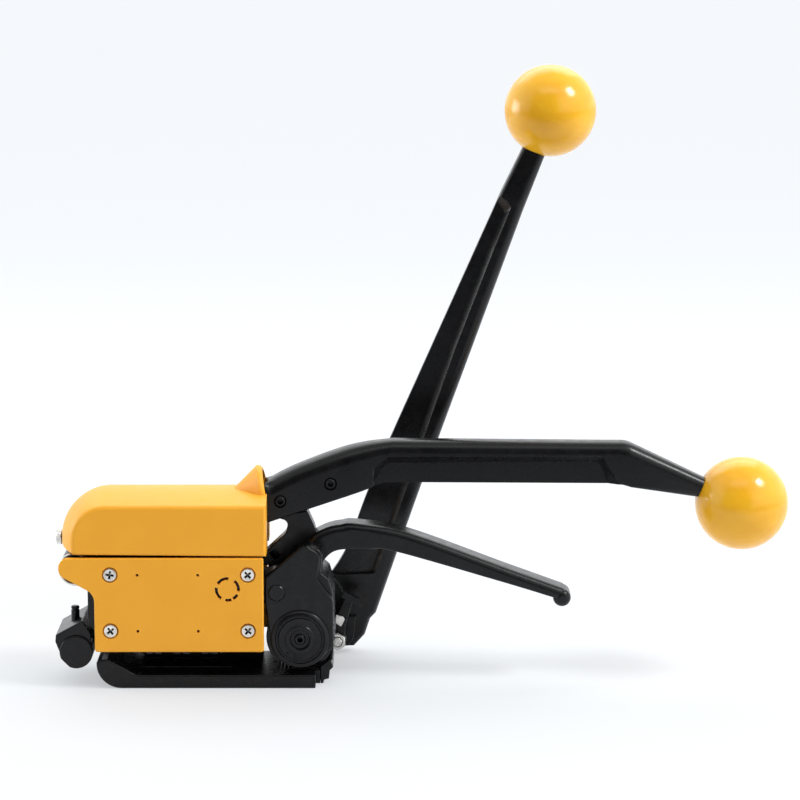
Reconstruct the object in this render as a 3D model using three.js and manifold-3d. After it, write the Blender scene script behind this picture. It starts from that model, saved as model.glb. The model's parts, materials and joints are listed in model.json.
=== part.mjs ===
// A hand tool for tensioning and joining steel strap. Millimetres, +Z up.
// X runs along the strap towards the long handle, Y runs across the tool and is
// negative on the open side where the strap goes in, and Z = 0 is the underside
// of the base plate. X = 0 is the feed wheel's axis, and Y = 0 is the middle of the strap.

import * as THREE from "three";
import { mergeVertices } from "three/addons/utils/BufferGeometryUtils.js";
import Module from "manifold-3d";

const wasm = await Module();
wasm.setup();

// ---- Driving dimensions ----

const STRAP_WIDTH = 19;
const HALF_WIDTH = 27; // middle of the strap to the outer face of either painted cover
const COVER_THICKNESS = 2.5;
const COVER = { front: -101.9, rear: -17.9, bottom: 19, top: 66.8, noseFront: -119.5 };
const FRAME_REAR = -20;
const FAR_WALL_NEAR = 15; // the far wall's inner face, across the tool
const BASE = { front: -101.5, rear: 7.6, top: 6.8, halfWidth: 25 };

const LEVER_AXIS = [-112, 59.4]; // x and z of each pivot
const ROCKER_AXIS = [-11.5, 48.5];
const WHEEL_AXIS = [0, 25.2];
const GATE_AXIS = [-111.8, 17.6];
const DRIVE_PAWL_AXIS = [17.5, 11.2];
const HOLD_PAWL_AXIS = [-13, 41];

const ECCENTRICITY = 3.2;
const ECCENTRIC_RADIUS = 5;
const ECCENTRIC_START = THREE.MathUtils.degToRad(135); // swings on to 225 degrees

const WHEEL_RADIUS = 17.2;
const RATCHET = { tip: 14, root: 11.6, teeth: 12, near: 28.5, far: 35.5 };
const BOSS_RADIUS = 14.8;
const SHAFT_RADIUS = 5;
const KNOB_RADIUS = 23.25;
const KNOB_FLAT = 22.2; // knob centre to the flat that the lever's end meets
const SEALING_KNOB = [220.9, 89.2];
const TENSION_KNOB = [126, 281.5];
const SEALING_BAR_ANGLE = THREE.MathUtils.degToRad(158); // from each knob back to its lever
const TENSION_BAR_ANGLE = THREE.MathUtils.degToRad(248);
const TENSION_PLANE = 53; // the tension lever's middle plane, clear of the other knob's path
const LEVER_HALF_WIDTH = 8;
const LEVER_JOURNAL = 4.5; // radius of the eccentric shaft's ends
const LEVER_SHAFT = 5.5; // and of its middle, inside the lever's hub
const PAWL_PIN_RADIUS = 2.5;
const HOLD_PIN_RADIUS = 2;
const HOOD_BOLT = { x: -119.9, z: 72, radius: 2 };
const RUNNING_GAP = 0.3;

const FINISHES = {
  paint: { color: 0xe09a33, roughness: 0.45, metalness: 0 },
  knob: { color: 0xe8a93a, roughness: 0.12, metalness: 0 },
  casting: { color: 0x1d1d1f, roughness: 0.5, metalness: 0.3 },
  dark_steel: { color: 0x17171a, roughness: 0.4, metalness: 0.7 },
  tool_steel: { color: 0x6c6e72, roughness: 0.35, metalness: 1 },
  bright_steel: { color: 0xd8d8d4, roughness: 0.2, metalness: 1 },
  bronze: { color: 0xa9814a, roughness: 0.35, metalness: 1 },
};

// ---- Making and joining solids ----

// A closed three.js geometry as a manifold-3d solid.
function solid(geometry) {
  const bare = geometry.index ? geometry.toNonIndexed() : geometry.clone();
  bare.deleteAttribute("normal");
  bare.deleteAttribute("uv");
  const merged = mergeVertices(bare, 1e-4);
  const corners = merged.index.array;
  const triangles = [];
  for (let i = 0; i < corners.length; i += 3) {
    const [a, b, c] = corners.slice(i, i + 3);
    if (a !== b && b !== c && c !== a) triangles.push(a, b, c);
  }
  const vertProperties = merged.attributes.position.array;
  const triVerts = new Uint32Array(triangles);
  return new wasm.Manifold(new wasm.Mesh({ numProp: 3, vertProperties, triVerts }));
}

// A named mesh of a solid, in the finish given.
function mesh(name, piece, finish) {
  const made = piece.getMesh();
  const geometry = new THREE.BufferGeometry();
  geometry.setAttribute("position", new THREE.BufferAttribute(made.vertProperties, 3));
  geometry.setIndex(new THREE.BufferAttribute(made.triVerts, 1));
  geometry.computeVertexNormals();
  const part = new THREE.Mesh(geometry, new THREE.MeshStandardMaterial(FINISHES[finish]));
  part.name = name;
  return part;
}

const unite = (first, ...others) => others.reduce((sum, piece) => sum.add(piece), first);
const cut = (body, ...tools) => tools.reduce((left, tool) => left.subtract(tool), body);

// ---- Outlines and basic pieces ----

const ARC_STEP = Math.PI / 8;
const polar = (radius, angle, [x, z] = [0, 0]) => [
  x + radius * Math.cos(angle),
  z + radius * Math.sin(angle),
];

// A side outline from corners [x, z], or [x, z, radius] where a corner is rounded.
function outline(corners) {
  const points = [];
  const vector = ([x, z]) => new THREE.Vector2(x, z);
  corners.forEach(([x, z, radius], i) => {
    const corner = new THREE.Vector2(x, z);
    if (!radius) {
      points.push(corner);
      return;
    }
    const back = vector(corners.at(i - 1)).sub(corner).normalize();
    const ahead = vector(corners[(i + 1) % corners.length]).sub(corner).normalize();
    const half = Math.acos(back.dot(ahead)) / 2;
    const centre = back.clone().add(ahead).setLength(radius / Math.sin(half)).add(corner);
    const start = back.multiplyScalar(radius / Math.tan(half)).add(corner).sub(centre);
    const end = ahead.multiplyScalar(radius / Math.tan(half)).add(corner).sub(centre);
    const sweep = Math.atan2(start.cross(end), start.dot(end));
    const steps = Math.max(2, Math.ceil(Math.abs(sweep) / ARC_STEP));
    for (let k = 0; k <= steps; k++) {
      const [px, pz] = polar(radius, start.angle() + (sweep * k) / steps, [centre.x, centre.y]);
      points.push(new THREE.Vector2(px, pz));
    }
  });
  return new THREE.Shape(points);
}

// Points along a smooth curve through the [x, z] points given.
function splinePoints(points, divisions) {
  const through = points.map(([x, z]) => new THREE.Vector2(x, z));
  return new THREE.SplineCurve(through).getPoints(divisions);
}

// A plate with a side outline, between two distances across the tool.
function plate(shape, near, far) {
  const geometry = new THREE.ExtrudeGeometry(shape, { depth: far - near, bevelEnabled: false });
  geometry.rotateX(Math.PI / 2);
  geometry.translate(0, far, 0);
  return solid(geometry);
}

// A block between two corners.
function block([x0, y0, z0], [x1, y1, z1]) {
  const geometry = new THREE.BoxGeometry(x1 - x0, y1 - y0, z1 - z0);
  geometry.translate((x0 + x1) / 2, (y0 + y1) / 2, (z0 + z1) / 2);
  return solid(geometry);
}

// A round bar across the tool, centred on [x, z].
function bar(radius, near, far, [x, z] = [0, 0], sides = 18) {
  const geometry = new THREE.CylinderGeometry(radius, radius, far - near, sides);
  geometry.translate(x, (near + far) / 2, z);
  return solid(geometry);
}

// A turned piece about the Y axis, from [radius, y] points that start and end on the axis.
function turned(points, sides = 24) {
  const profile = points.map(([radius, y]) => new THREE.Vector2(radius, y));
  return solid(new THREE.LatheGeometry(profile, sides));
}

// A coil of wire about an axis across the tool.
function coil({ radius, wire, near, far, turns, axis }) {
  const stepsPerTurn = 10;
  const points = [];
  const steps = Math.round(turns * stepsPerTurn);
  for (let i = 0; i <= steps; i++) {
    const [px, pz] = polar(radius, (2 * Math.PI * i) / stepsPerTurn, axis);
    points.push(new THREE.Vector3(px, near + ((far - near) * i) / steps, pz));
  }
  const path = new THREE.CatmullRomCurve3(points);
  const section = new THREE.Shape(new THREE.Path().absarc(0, 0, wire, 0, 2 * Math.PI).getPoints(3));
  return solid(
    new THREE.ExtrudeGeometry(section, { steps, extrudePath: path, bevelEnabled: false }),
  );
}

const root = new THREE.Group();
const group = (parent) => {
  const made = new THREE.Group();
  parent.add(made);
  return made;
};

// ---- Countersunk screws ----

const SCREW_HEAD = { radius: 3.75, depth: 2.1 };
const SCREW_SHANK = 1.95;
const COVER_SCREW_LENGTH = 6.4;

// The hole for a countersunk screw whose head's face is at y = 0 and which points to +Y.
function screwHoleGeometry(length) {
  const points = [
    [0, -1],
    [SCREW_HEAD.radius + RUNNING_GAP, -1],
    [SCREW_HEAD.radius + RUNNING_GAP, 0.2],
    [SCREW_SHANK + RUNNING_GAP, SCREW_HEAD.depth + RUNNING_GAP],
    [SCREW_SHANK + RUNNING_GAP, length + 0.8],
    [0, length + 0.8],
  ];
  return new THREE.LatheGeometry(points.map(([radius, y]) => new THREE.Vector2(radius, y)), 14);
}

function coverScrewHole([x, z], face) {
  const geometry = screwHoleGeometry(COVER_SCREW_LENGTH);
  if (face > 0) geometry.rotateX(Math.PI);
  return solid(geometry.translate(x, face, z));
}

function baseScrewHole(x) {
  const geometry = screwHoleGeometry(BASE_SCREW_LENGTH).rotateX(Math.PI / 2);
  return solid(geometry.translate(x, BASE_SCREW_Y, 0));
}

// ---- Base plate and what stands on it ----

const GRIPPER = { front: -12, rear: 7, bottom: 3.2, top: 7, halfWidth: 11 };
const DIE = { front: -80.5, rear: -35, top: 7.6 };
const PUNCH = { width: 8, halfDepth: 8.5, bottom: 13.4, top: 39.7, places: [-74, -60, -46] };
const BASE_SCREWS = [-74, -26];
const BASE_SCREW_Y = 19.5;
const BASE_SCREW_LENGTH = 14;

function basePlate() {
  const side = outline([
    [BASE.rear, 0],
    [BASE.front, 0, 9.6],
    [BASE.front, 12.4, 2.5],
    [-95.7, 14.9, 1.2],
    [-81.6, BASE.top, 3],
    [BASE.rear, BASE.top],
  ]);
  const tongue = block([BASE.rear - 1, -15, 0], [9.6, 15, BASE.top]);
  const gripperSeat = block(
    [GRIPPER.front - RUNNING_GAP, -GRIPPER.halfWidth - RUNNING_GAP, GRIPPER.bottom],
    [GRIPPER.rear + RUNNING_GAP, GRIPPER.halfWidth + RUNNING_GAP, BASE.top + 1],
  );
  const body = plate(side, -BASE.halfWidth, BASE.halfWidth);
  return cut(unite(body, tongue), gripperSeat, ...BASE_SCREWS.map(baseScrewHole));
}

function gripperPlate() {
  const teeth = [];
  const pitch = (GRIPPER.rear - GRIPPER.front) / 10;
  for (let i = 0; i < 10; i++) {
    const x = GRIPPER.front + i * pitch;
    teeth.push([x, GRIPPER.top], [x + pitch * 0.9, GRIPPER.top - 0.5]);
  }
  const side = outline([
    [GRIPPER.front, GRIPPER.bottom],
    ...teeth,
    [GRIPPER.rear, GRIPPER.top - 0.5],
    [GRIPPER.rear, GRIPPER.bottom],
  ]);
  return plate(side, -GRIPPER.halfWidth, GRIPPER.halfWidth);
}

function lowerDie() {
  const body = block([DIE.front, -STRAP_WIDTH / 2 - 0.5, BASE.top], [DIE.rear, 10, DIE.top]);
  const openings = PUNCH.places.map((x) =>
    block([x - PUNCH.width / 2 - 0.5, -7.5, BASE.top - 1], [x + PUNCH.width / 2 + 0.5, 7.5, 9]),
  );
  return cut(body, ...openings);
}

// The block behind the wheel: hollowed to the wheel in front, stepped behind.
function rearStrapGuide() {
  const hollow = [];
  for (let degrees = -58; degrees <= -38; degrees += 5) {
    hollow.push(polar(19.2, THREE.MathUtils.degToRad(degrees), WHEEL_AXIS));
  }
  const side = outline([
    [9.8, 0],
    [9.8, 8.6],
    ...hollow,
    [16.6, 13.4],
    [15.1, 11.4],
    [16.3, 8.4],
    [14.5, 6.6],
    [14.1, 2.4],
    [11.6, 1.8],
    [11.2, 0],
  ]);
  return plate(side, -15, 15);
}

const base = group(root);
base.add(mesh("base_plate", basePlate(), "casting"));
base.add(mesh("gripper_plate", gripperPlate(), "tool_steel"));
base.add(mesh("lower_die", lowerDie(), "tool_steel"));
base.add(mesh("rear_strap_guide", rearStrapGuide(), "casting"));

// ---- Frame, side plate and painted covers ----

const SCREW_PLACES = [
  [-94, 58.3],
  [-25.7, 58.3],
  [-94, 29.8],
  [-25.7, 29.8],
];
const RIVET_HOLES = [-80.4, -50.4].flatMap((x) => [58.2, 29.6].map((z) => [x, z]));
const KNOCK_OUT = { centre: [-35.8, 51], inner: 5, outer: 6, depth: 0.8 };
const KNOCK_OUT_ARCS = [
  [85, 150],
  [170, 235],
  [260, 290],
  [300, 330],
  [350, 410],
];
const COVER_INNER = HALF_WIDTH - COVER_THICKNESS;
const SIDE_PLATE = { near: -24.2, far: -20.4 };
const FAR_WALL_FAR = 24.2;
const NOSE_LINE = { rear: [COVER.front, 48.4], front: [COVER.noseFront, 58] };

function coverSide() {
  return outline([
    [COVER.rear, COVER.bottom, 1.2],
    [COVER.front, COVER.bottom, 1.5],
    [...NOSE_LINE.rear, 6],
    [...NOSE_LINE.front, 5],
    [COVER.noseFront, COVER.top, 5],
    [COVER.rear, COVER.top, 1],
  ]);
}

// The steel walls follow the cover a little inside its edge, with a straight front edge.
function wallSide(lowerEdge) {
  return outline([
    ...lowerEdge,
    [-101.2, 28],
    [-105.3, 33.5],
    [-105.3, 50.7],
    [-118.9, 58.5, 4.5],
    [-118.9, 66.2, 4.5],
    [FRAME_REAR, 66.2],
  ]);
}

function knockOutArcs() {
  return KNOCK_OUT_ARCS.map(([from, to]) => {
    const [start, end] = [from, to].map(THREE.MathUtils.degToRad);
    const ring = new THREE.Shape();
    ring.absarc(...KNOCK_OUT.centre, KNOCK_OUT.outer, start, end, false);
    ring.absarc(...KNOCK_OUT.centre, KNOCK_OUT.inner, end, start, true);
    const geometry = new THREE.ExtrudeGeometry(ring, {
      depth: KNOCK_OUT.depth + 1,
      bevelEnabled: false,
      curveSegments: 3,
    });
    geometry.rotateX(Math.PI / 2);
    geometry.translate(0, -HALF_WIDTH + KNOCK_OUT.depth, 0);
    return solid(geometry);
  });
}

function nearSideCover() {
  const body = plate(coverSide(), -HALF_WIDTH, -COVER_INNER);
  const screwHoles = SCREW_PLACES.map((place) => coverScrewHole(place, -HALF_WIDTH));
  const rivetHoles = RIVET_HOLES.map((place) => bar(0.75, -HALF_WIDTH - 1, -COVER_INNER + 1, place, 8));
  return cut(body, ...screwHoles, ...rivetHoles, ...knockOutArcs());
}

function farSideCover() {
  const body = plate(coverSide(), COVER_INNER, HALF_WIDTH);
  return cut(body, ...SCREW_PLACES.map((place) => coverScrewHole(place, HALF_WIDTH)));
}

function nearSidePlate() {
  const lowerEdge = [
    [FRAME_REAR, 19.6],
    [-101.2, 19.6],
  ];
  const body = plate(wallSide(lowerEdge), SIDE_PLATE.near, SIDE_PLATE.far);
  const shaftHole = bar(LEVER_JOURNAL + RUNNING_GAP, -30, -15, LEVER_AXIS);
  return cut(body, shaftHole, ...SCREW_PLACES.map((place) => coverScrewHole(place, -HALF_WIDTH)));
}

const ROCKER_PIN = { radius: 4, near: -24.7, far: 23 };
const ROCKER_LUG = { radius: 7.4, near: -14, far: 9.5 };
const GATE_PIN_RADIUS = 3;

// One casting: the far wall, a block across the front and one across the rear, the lug
// that carries the rocker, and the lug that carries the gate.
function frameCasting() {
  const lowerEdge = [
    [FRAME_REAR, BASE.top],
    [-80, BASE.top],
    [-93.6, 15.2],
    [-101.2, 15.2],
  ];
  const farWall = plate(wallSide(lowerEdge), FAR_WALL_NEAR, FAR_WALL_FAR);
  const strapStop = block([-79, 10.6, BASE.top], [FRAME_REAR, FAR_WALL_NEAR + 1, 20]);
  const frontSide = outline([
    [-89, 26],
    [-100.5, 26],
    [-105.3, 33.5],
    [-105.3, 46.4],
    [-89, 46.4],
  ]);
  const frontBlock = plate(frontSide, SIDE_PLATE.far + 0.1, FAR_WALL_NEAR + 1);
  const rearBlock = block([-32, SIDE_PLATE.far + 0.1, 28], [FRAME_REAR, FAR_WALL_NEAR + 1, 54]);
  const [px, pz] = ROCKER_AXIS;
  const lugSide = outline([
    [FRAME_REAR - 2, pz - ROCKER_LUG.radius],
    [px, pz - ROCKER_LUG.radius],
    [px, pz + ROCKER_LUG.radius],
    [FRAME_REAR - 2, 53],
  ]);
  const lugNeck = plate(lugSide, ROCKER_LUG.near, ROCKER_LUG.far);
  const lugEye = bar(ROCKER_LUG.radius, ROCKER_LUG.near, ROCKER_LUG.far, ROCKER_AXIS);
  const [gx, gz] = GATE_AXIS;
  const gateNeck = block([gx, FAR_WALL_NEAR, gz - 2], [-100, FAR_WALL_FAR, gz + 6.8]);
  const gateEye = bar(6.8, FAR_WALL_NEAR, FAR_WALL_FAR, GATE_AXIS);
  const body = unite(farWall, strapStop, frontBlock, rearBlock, lugNeck, lugEye, gateNeck, gateEye);
  return cut(
    body,
    bar(LEVER_JOURNAL + RUNNING_GAP, 10, 30, LEVER_AXIS),
    bar(ROCKER_PIN.radius + RUNNING_GAP, -20, 20, ROCKER_AXIS),
    bar(GATE_PIN_RADIUS + RUNNING_GAP, 10, 22, GATE_AXIS),
    ...SCREW_PLACES.map((place) => coverScrewHole(place, HALF_WIDTH)),
    ...BASE_SCREWS.map(baseScrewHole),
  );
}

// A countersunk screw with a crossed recess; its head's face is at y = 0.
function countersunkScrew(length) {
  const body = turned(
    [
      [0, 0],
      [SCREW_HEAD.radius, 0],
      [SCREW_HEAD.radius, 0.25],
      [SCREW_SHANK, SCREW_HEAD.depth],
      [SCREW_SHANK, length],
      [0, length],
    ],
    14,
  );
  const reach = 2.1;
  const arm = 0.45;
  const depth = 1.1;
  const recess = unite(
    block([-reach, -1, -arm], [reach, depth, arm]),
    block([-arm, -1, -reach], [arm, depth, reach]),
  );
  return cut(body, recess);
}

function addCoverScrews(parent, side, face, direction) {
  SCREW_PLACES.forEach(([x, z], i) => {
    const piece = countersunkScrew(COVER_SCREW_LENGTH);
    const screw = mesh(`${side}_cover_screw_${i + 1}`, piece, "bright_steel");
    screw.position.set(x, face, z);
    screw.rotation.x = direction > 0 ? 0 : Math.PI;
    screw.rotation.y = THREE.MathUtils.degToRad([20, 35, 50, 40][i]);
    parent.add(screw);
  });
}

function rockerPin() {
  return turned([
    [0, ROCKER_PIN.near],
    [ROCKER_PIN.radius - 0.5, ROCKER_PIN.near],
    [ROCKER_PIN.radius, ROCKER_PIN.near + 0.5],
    [ROCKER_PIN.radius, ROCKER_PIN.far - 0.5],
    [ROCKER_PIN.radius - 0.5, ROCKER_PIN.far],
    [0, ROCKER_PIN.far],
  ]);
}

const frame = group(root);
frame.add(mesh("frame_casting", frameCasting(), "casting"));
frame.add(mesh("near_side_plate", nearSidePlate(), "dark_steel"));
frame.add(mesh("near_side_cover", nearSideCover(), "paint"));
frame.add(mesh("far_side_cover", farSideCover(), "paint"));
addCoverScrews(frame, "near", -HALF_WIDTH, 1);
addCoverScrews(frame, "far", HALF_WIDTH, -1);
BASE_SCREWS.forEach((x, i) => {
  const piece = countersunkScrew(BASE_SCREW_LENGTH);
  const screw = mesh(`base_screw_${i + 1}`, piece, "dark_steel");
  screw.position.set(x, BASE_SCREW_Y, 0);
  screw.rotation.x = Math.PI / 2;
  frame.add(screw);
});
const rockerPinMesh = mesh("rocker_pin", rockerPin(), "dark_steel");
rockerPinMesh.position.set(ROCKER_AXIS[0], 0, ROCKER_AXIS[1]);
frame.add(rockerPinMesh);
const gatePin = bar(GATE_PIN_RADIUS, -19.5, 21.5, GATE_AXIS);
frame.add(mesh("gate_pin", gatePin, "dark_steel"));
// Each spring lies round its pivot.
const SPRINGS = {
  lever_return_spring: { radius: 8.1, wire: 0.75, near: -19.5, far: -15.9, turns: 2.2, axis: LEVER_AXIS },
  rocker_return_spring: { radius: 5.4, wire: 0.6, near: -18.4, far: -14.8, turns: 2.2, axis: ROCKER_AXIS },
  gate_spring: { radius: 4.4, wire: 0.5, near: 11.1, far: 14.2, turns: 2, axis: GATE_AXIS },
};
Object.entries(SPRINGS).forEach(([name, spring]) => {
  frame.add(mesh(name, coil(spring), "bright_steel"));
});

// ---- Sealing lever, its arm, shaft and hood ----

const HOOD = { front: -112.6, rear: -16.6, frontBottom: 68.3, rearBottom: 67.5, top: 92.6 };
const HOOD_WALL = 2.5;
const HOOD_CROWN = 4.4;
const HOOD_BULGE = 7.1;
const SCOOP = { tip: -37, axis: 93.5, halfWidth: 14, height: 15 };
const LEVER_PINS = [
  [-10, 91.9],
  [15.1, 100.8],
];
const PIN_HEAD = { radius: 3.1, depth: 1.2 };
const PIN_SHANK = 1.8;
const FORK = { halfWidth: 10, channel: 6.4, front: -18.2 };
const ARM_HALF_WIDTH = 6;
const HUB = { radius: 8, halfWidth: 8 };

// Swells an extruded side profile towards the middle of the tool: upwards at the top,
// and forwards at the front.
function crown(geometry) {
  const position = geometry.attributes.position;
  for (let i = 0; i < position.count; i++) {
    const [x, y, z] = [position.getX(i), position.getY(i), position.getZ(i)];
    const middle = 1 - (y / HALF_WIDTH) ** 2;
    const upper = THREE.MathUtils.smoothstep(z, 74, HOOD.top);
    const forward = 1 - THREE.MathUtils.smoothstep(x, HOOD.front, -92);
    position.setX(i, x - HOOD_BULGE * middle * forward);
    position.setZ(i, z + HOOD_CROWN * middle * upper);
  }
  return geometry;
}

function hoodLayer(inset, halfWidth, bottomDrop, bevel) {
  const side = outline([
    [HOOD.rear - inset, HOOD.rearBottom - bottomDrop],
    [HOOD.front + inset, HOOD.frontBottom - bottomDrop],
    [HOOD.front + inset, HOOD.top - inset, 14.5 - inset],
    [HOOD.rear - inset, HOOD.top - inset],
  ]);
  const geometry = new THREE.ExtrudeGeometry(side, {
    depth: 2 * (halfWidth - bevel),
    steps: 8,
    bevelEnabled: bevel > 0,
    bevelSize: bevel,
    bevelOffset: -bevel,
    bevelThickness: bevel,
    bevelSegments: 2,
  });
  geometry.rotateX(Math.PI / 2);
  geometry.translate(0, halfWidth - bevel, 0);
  return solid(crown(geometry));
}

// A half-buried cone that opens towards the lever.
function scoopCone(inset) {
  const rear = HOOD.rear - 0.6 + inset;
  const tip = SCOOP.tip + 2 * inset;
  const geometry = new THREE.ConeGeometry(1, rear - tip, 20);
  geometry.rotateZ(Math.PI / 2);
  geometry.scale(1, SCOOP.halfWidth - inset, SCOOP.height - inset);
  geometry.translate((rear + tip) / 2, 0, SCOOP.axis);
  return solid(geometry);
}

// A hole along X for the hood's bolt, centred on the x given.
function hoodBoltHole(x) {
  const radius = HOOD_BOLT.radius + RUNNING_GAP;
  const geometry = new THREE.CylinderGeometry(radius, radius, 12, 16).rotateZ(Math.PI / 2);
  return solid(geometry.translate(x, 0, HOOD_BOLT.z));
}

// The hood is open below, and its rear wall has a slot for the lever's fork.
function hood() {
  const outer = unite(hoodLayer(0, HALF_WIDTH, 0, 1.6), scoopCone(0));
  const inner = hoodLayer(HOOD_WALL, HALF_WIDTH - HOOD_WALL, 20, 0);
  const slotFront = HOOD.rear - HOOD_WALL - 0.1;
  const slotSide = outline([
    [slotFront, 40],
    [slotFront, 100],
    [-16, 101.7],
    [-10, 101.7],
    [-10, 40],
  ]);
  const slot = plate(slotSide, -FORK.halfWidth - 0.6, FORK.halfWidth + 0.6);
  return cut(outer, inner, scoopCone(HOOD_WALL), slot, hoodBoltHole(HOOD_BOLT.x));
}

// The handle's bar: arched over the fork, straight, then bent down to the knob.
function handleSide() {
  const top = splinePoints(
    [
      [FORK.front, 99.8],
      [-3.7, 107.4],
      [18.8, 116.1],
      [32.3, 119.4],
      [46, 121.3],
    ],
    12,
  );
  const middle = polar(KNOB_FLAT + 0.2, SEALING_BAR_ANGLE, SEALING_KNOB);
  const end = (across) => polar(across, SEALING_BAR_ANGLE - Math.PI / 2, middle);
  return new THREE.Shape([
    new THREE.Vector2(FORK.front, 80.4),
    ...top,
    new THREE.Vector2(162.6, 120.2),
    new THREE.Vector2(165.5, 118.7),
    new THREE.Vector2(...end(5)),
    new THREE.Vector2(...end(-5)),
    new THREE.Vector2(161, 99.9),
    new THREE.Vector2(42, 100.7),
    new THREE.Vector2(33.8, 97.9),
  ]);
}

function sealingHandle() {
  const side = handleSide();
  const narrow = plate(side, -LEVER_HALF_WIDTH, LEVER_HALF_WIDTH);
  const wide = plate(side, -FORK.halfWidth, FORK.halfWidth);
  const fork = cut(wide, block([36, -20, 60], [260, 20, 140]));
  const channelSide = outline([
    [FORK.front - 5, 60],
    [FORK.front - 5, 91],
    [-3.7, 101],
    [18.8, 109.6],
    [26, 111],
    [27, 60],
  ]);
  const channel = plate(channelSide, -FORK.channel, FORK.channel);
  const pocketSide = outline([
    [31, 90],
    [31, 99, 2],
    [45, 115, 3],
    [157, 115, 3],
    [171.5, 98, 1],
    [171.5, 90],
  ]);
  const webHalf = 3;
  const pockets = [
    plate(pocketSide, -20, -webHalf),
    plate(pocketSide, webHalf, 20),
  ];
  const pinHoles = LEVER_PINS.flatMap((place) => [
    bar(PIN_SHANK + RUNNING_GAP, -20, 20, place, 16),
    bar(PIN_HEAD.radius + RUNNING_GAP, -20, -FORK.halfWidth + PIN_HEAD.depth, place, 20),
  ]);
  const studHole = studCutter(SEALING_KNOB, SEALING_BAR_ANGLE, 0);
  return cut(unite(narrow, fork), channel, ...pockets, ...pinHoles, studHole);
}

function sealingArm() {
  const side = outline([
    [-106, 52.2],
    [-98, 62],
    [-60, 66.5],
    [-36, 73],
    [-19, 86.5],
    [-10, 89.2],
    [4, 90.5],
    [14, 96],
    [22, 100],
    [21, 107.5],
    [15, 107],
    [-10, 97.6],
    [-24, 90.5],
    [-54, 87],
    [-55, 94],
    [-75, 94],
    [-76, 85],
    [-96, 80],
    [-104, 78],
    [-115.6, 77],
    [-115.6, 67.4],
    [-117.5, 65.1],
  ]);
  const body = plate(side, -ARM_HALF_WIDTH, ARM_HALF_WIDTH);
  const hub = bar(HUB.radius, -HUB.halfWidth, HUB.halfWidth, LEVER_AXIS, 32);
  return cut(
    unite(body, hub),
    bar(LEVER_SHAFT + RUNNING_GAP, -10, 10, LEVER_AXIS),
    hoodBoltHole(-115),
    ...LEVER_PINS.map((place) => bar(PIN_SHANK + RUNNING_GAP, -20, 20, place, 16)),
  );
}

function eccentricShaft() {
  const lobeCentre = polar(ECCENTRICITY, ECCENTRIC_START, LEVER_AXIS);
  return unite(
    bar(LEVER_SHAFT, -8.4, 8.4, LEVER_AXIS),
    bar(ECCENTRIC_RADIUS, -15, -8.3, lobeCentre, 28),
    bar(ECCENTRIC_RADIUS, 8.3, 15, lobeCentre, 28),
    bar(LEVER_JOURNAL, -24.2, -14.9, LEVER_AXIS),
    bar(LEVER_JOURNAL, 14.9, 24.1, LEVER_AXIS),
  );
}

// A cross pin with a socket in its flush head.
function leverPin(place) {
  const near = -FORK.halfWidth + 0.1;
  const body = unite(
    bar(PIN_HEAD.radius, near, near + PIN_HEAD.depth - 0.2, place, 20),
    bar(PIN_SHANK, near, FORK.halfWidth - 0.1, place, 16),
  );
  return cut(body, bar(1.2, near - 1, near + 1.6, place, 6));
}

// A hexagon-headed bolt along X, its head towards the front.
function hoodBolt() {
  const head = new THREE.CylinderGeometry(4, 4, 2.6, 6).rotateZ(Math.PI / 2);
  const shank = new THREE.CylinderGeometry(HOOD_BOLT.radius, HOOD_BOLT.radius, 9, 16);
  shank.rotateZ(Math.PI / 2);
  head.translate(HOOD_BOLT.x - 1.5, 0, HOOD_BOLT.z);
  shank.translate(HOOD_BOLT.x + 3.5, 0, HOOD_BOLT.z);
  return unite(solid(head), solid(shank));
}

// ---- Ball knobs and the studs that hold them ----

const STUD_RADIUS = 4;
const STUD_REACH = 11; // on either side of the knob's flat

// A bar along the line from a knob's centre towards its lever, at the knob's flat.
function studAlong([x, z], angle, y, radius, reach) {
  const geometry = new THREE.CylinderGeometry(radius, radius, 2 * reach, 20);
  geometry.rotateZ(Math.PI / 2);
  geometry.rotateY(-angle);
  const [midX, midZ] = polar(KNOB_FLAT, angle, [x, z]);
  geometry.translate(midX, y, midZ);
  return solid(geometry);
}

function studCutter(centre, angle, y) {
  return studAlong(centre, angle, y, STUD_RADIUS + RUNNING_GAP, STUD_REACH + 1);
}

function knob([x, z], angle, y) {
  const ball = new THREE.SphereGeometry(KNOB_RADIUS, 24, 14);
  ball.translate(x, y, z);
  const geometry = new THREE.CylinderGeometry(20, 20, 10, 24);
  geometry.rotateZ(Math.PI / 2);
  geometry.rotateY(-angle);
  const [flatX, flatZ] = polar(KNOB_FLAT + 5, angle, [x, z]);
  geometry.translate(flatX, y, flatZ);
  return cut(solid(ball), solid(geometry), studCutter([x, z], angle, y));
}

const sealingLever = group(root);
sealingLever.add(mesh("sealing_lever", sealingHandle(), "casting"));
sealingLever.add(mesh("sealing_arm", sealingArm(), "dark_steel"));
sealingLever.add(mesh("eccentric_shaft", eccentricShaft(), "tool_steel"));
LEVER_PINS.forEach((place, i) => {
  sealingLever.add(mesh(`lever_pin_${i + 1}`, leverPin(place), "dark_steel"));
});
sealingLever.add(mesh("hood", hood(), "paint"));
sealingLever.add(mesh("hood_bolt", hoodBolt(), "bright_steel"));
sealingLever.add(mesh("sealing_knob", knob(SEALING_KNOB, SEALING_BAR_ANGLE, 0), "knob"));
const sealingStud = studAlong(SEALING_KNOB, SEALING_BAR_ANGLE, 0, STUD_RADIUS, STUD_REACH);
sealingLever.add(mesh("sealing_knob_stud", sealingStud, "bright_steel"));

// ---- Punch carriage, driven down by the eccentrics ----

const YOKE = { near: 8.8, far: 14.6 };

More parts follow.
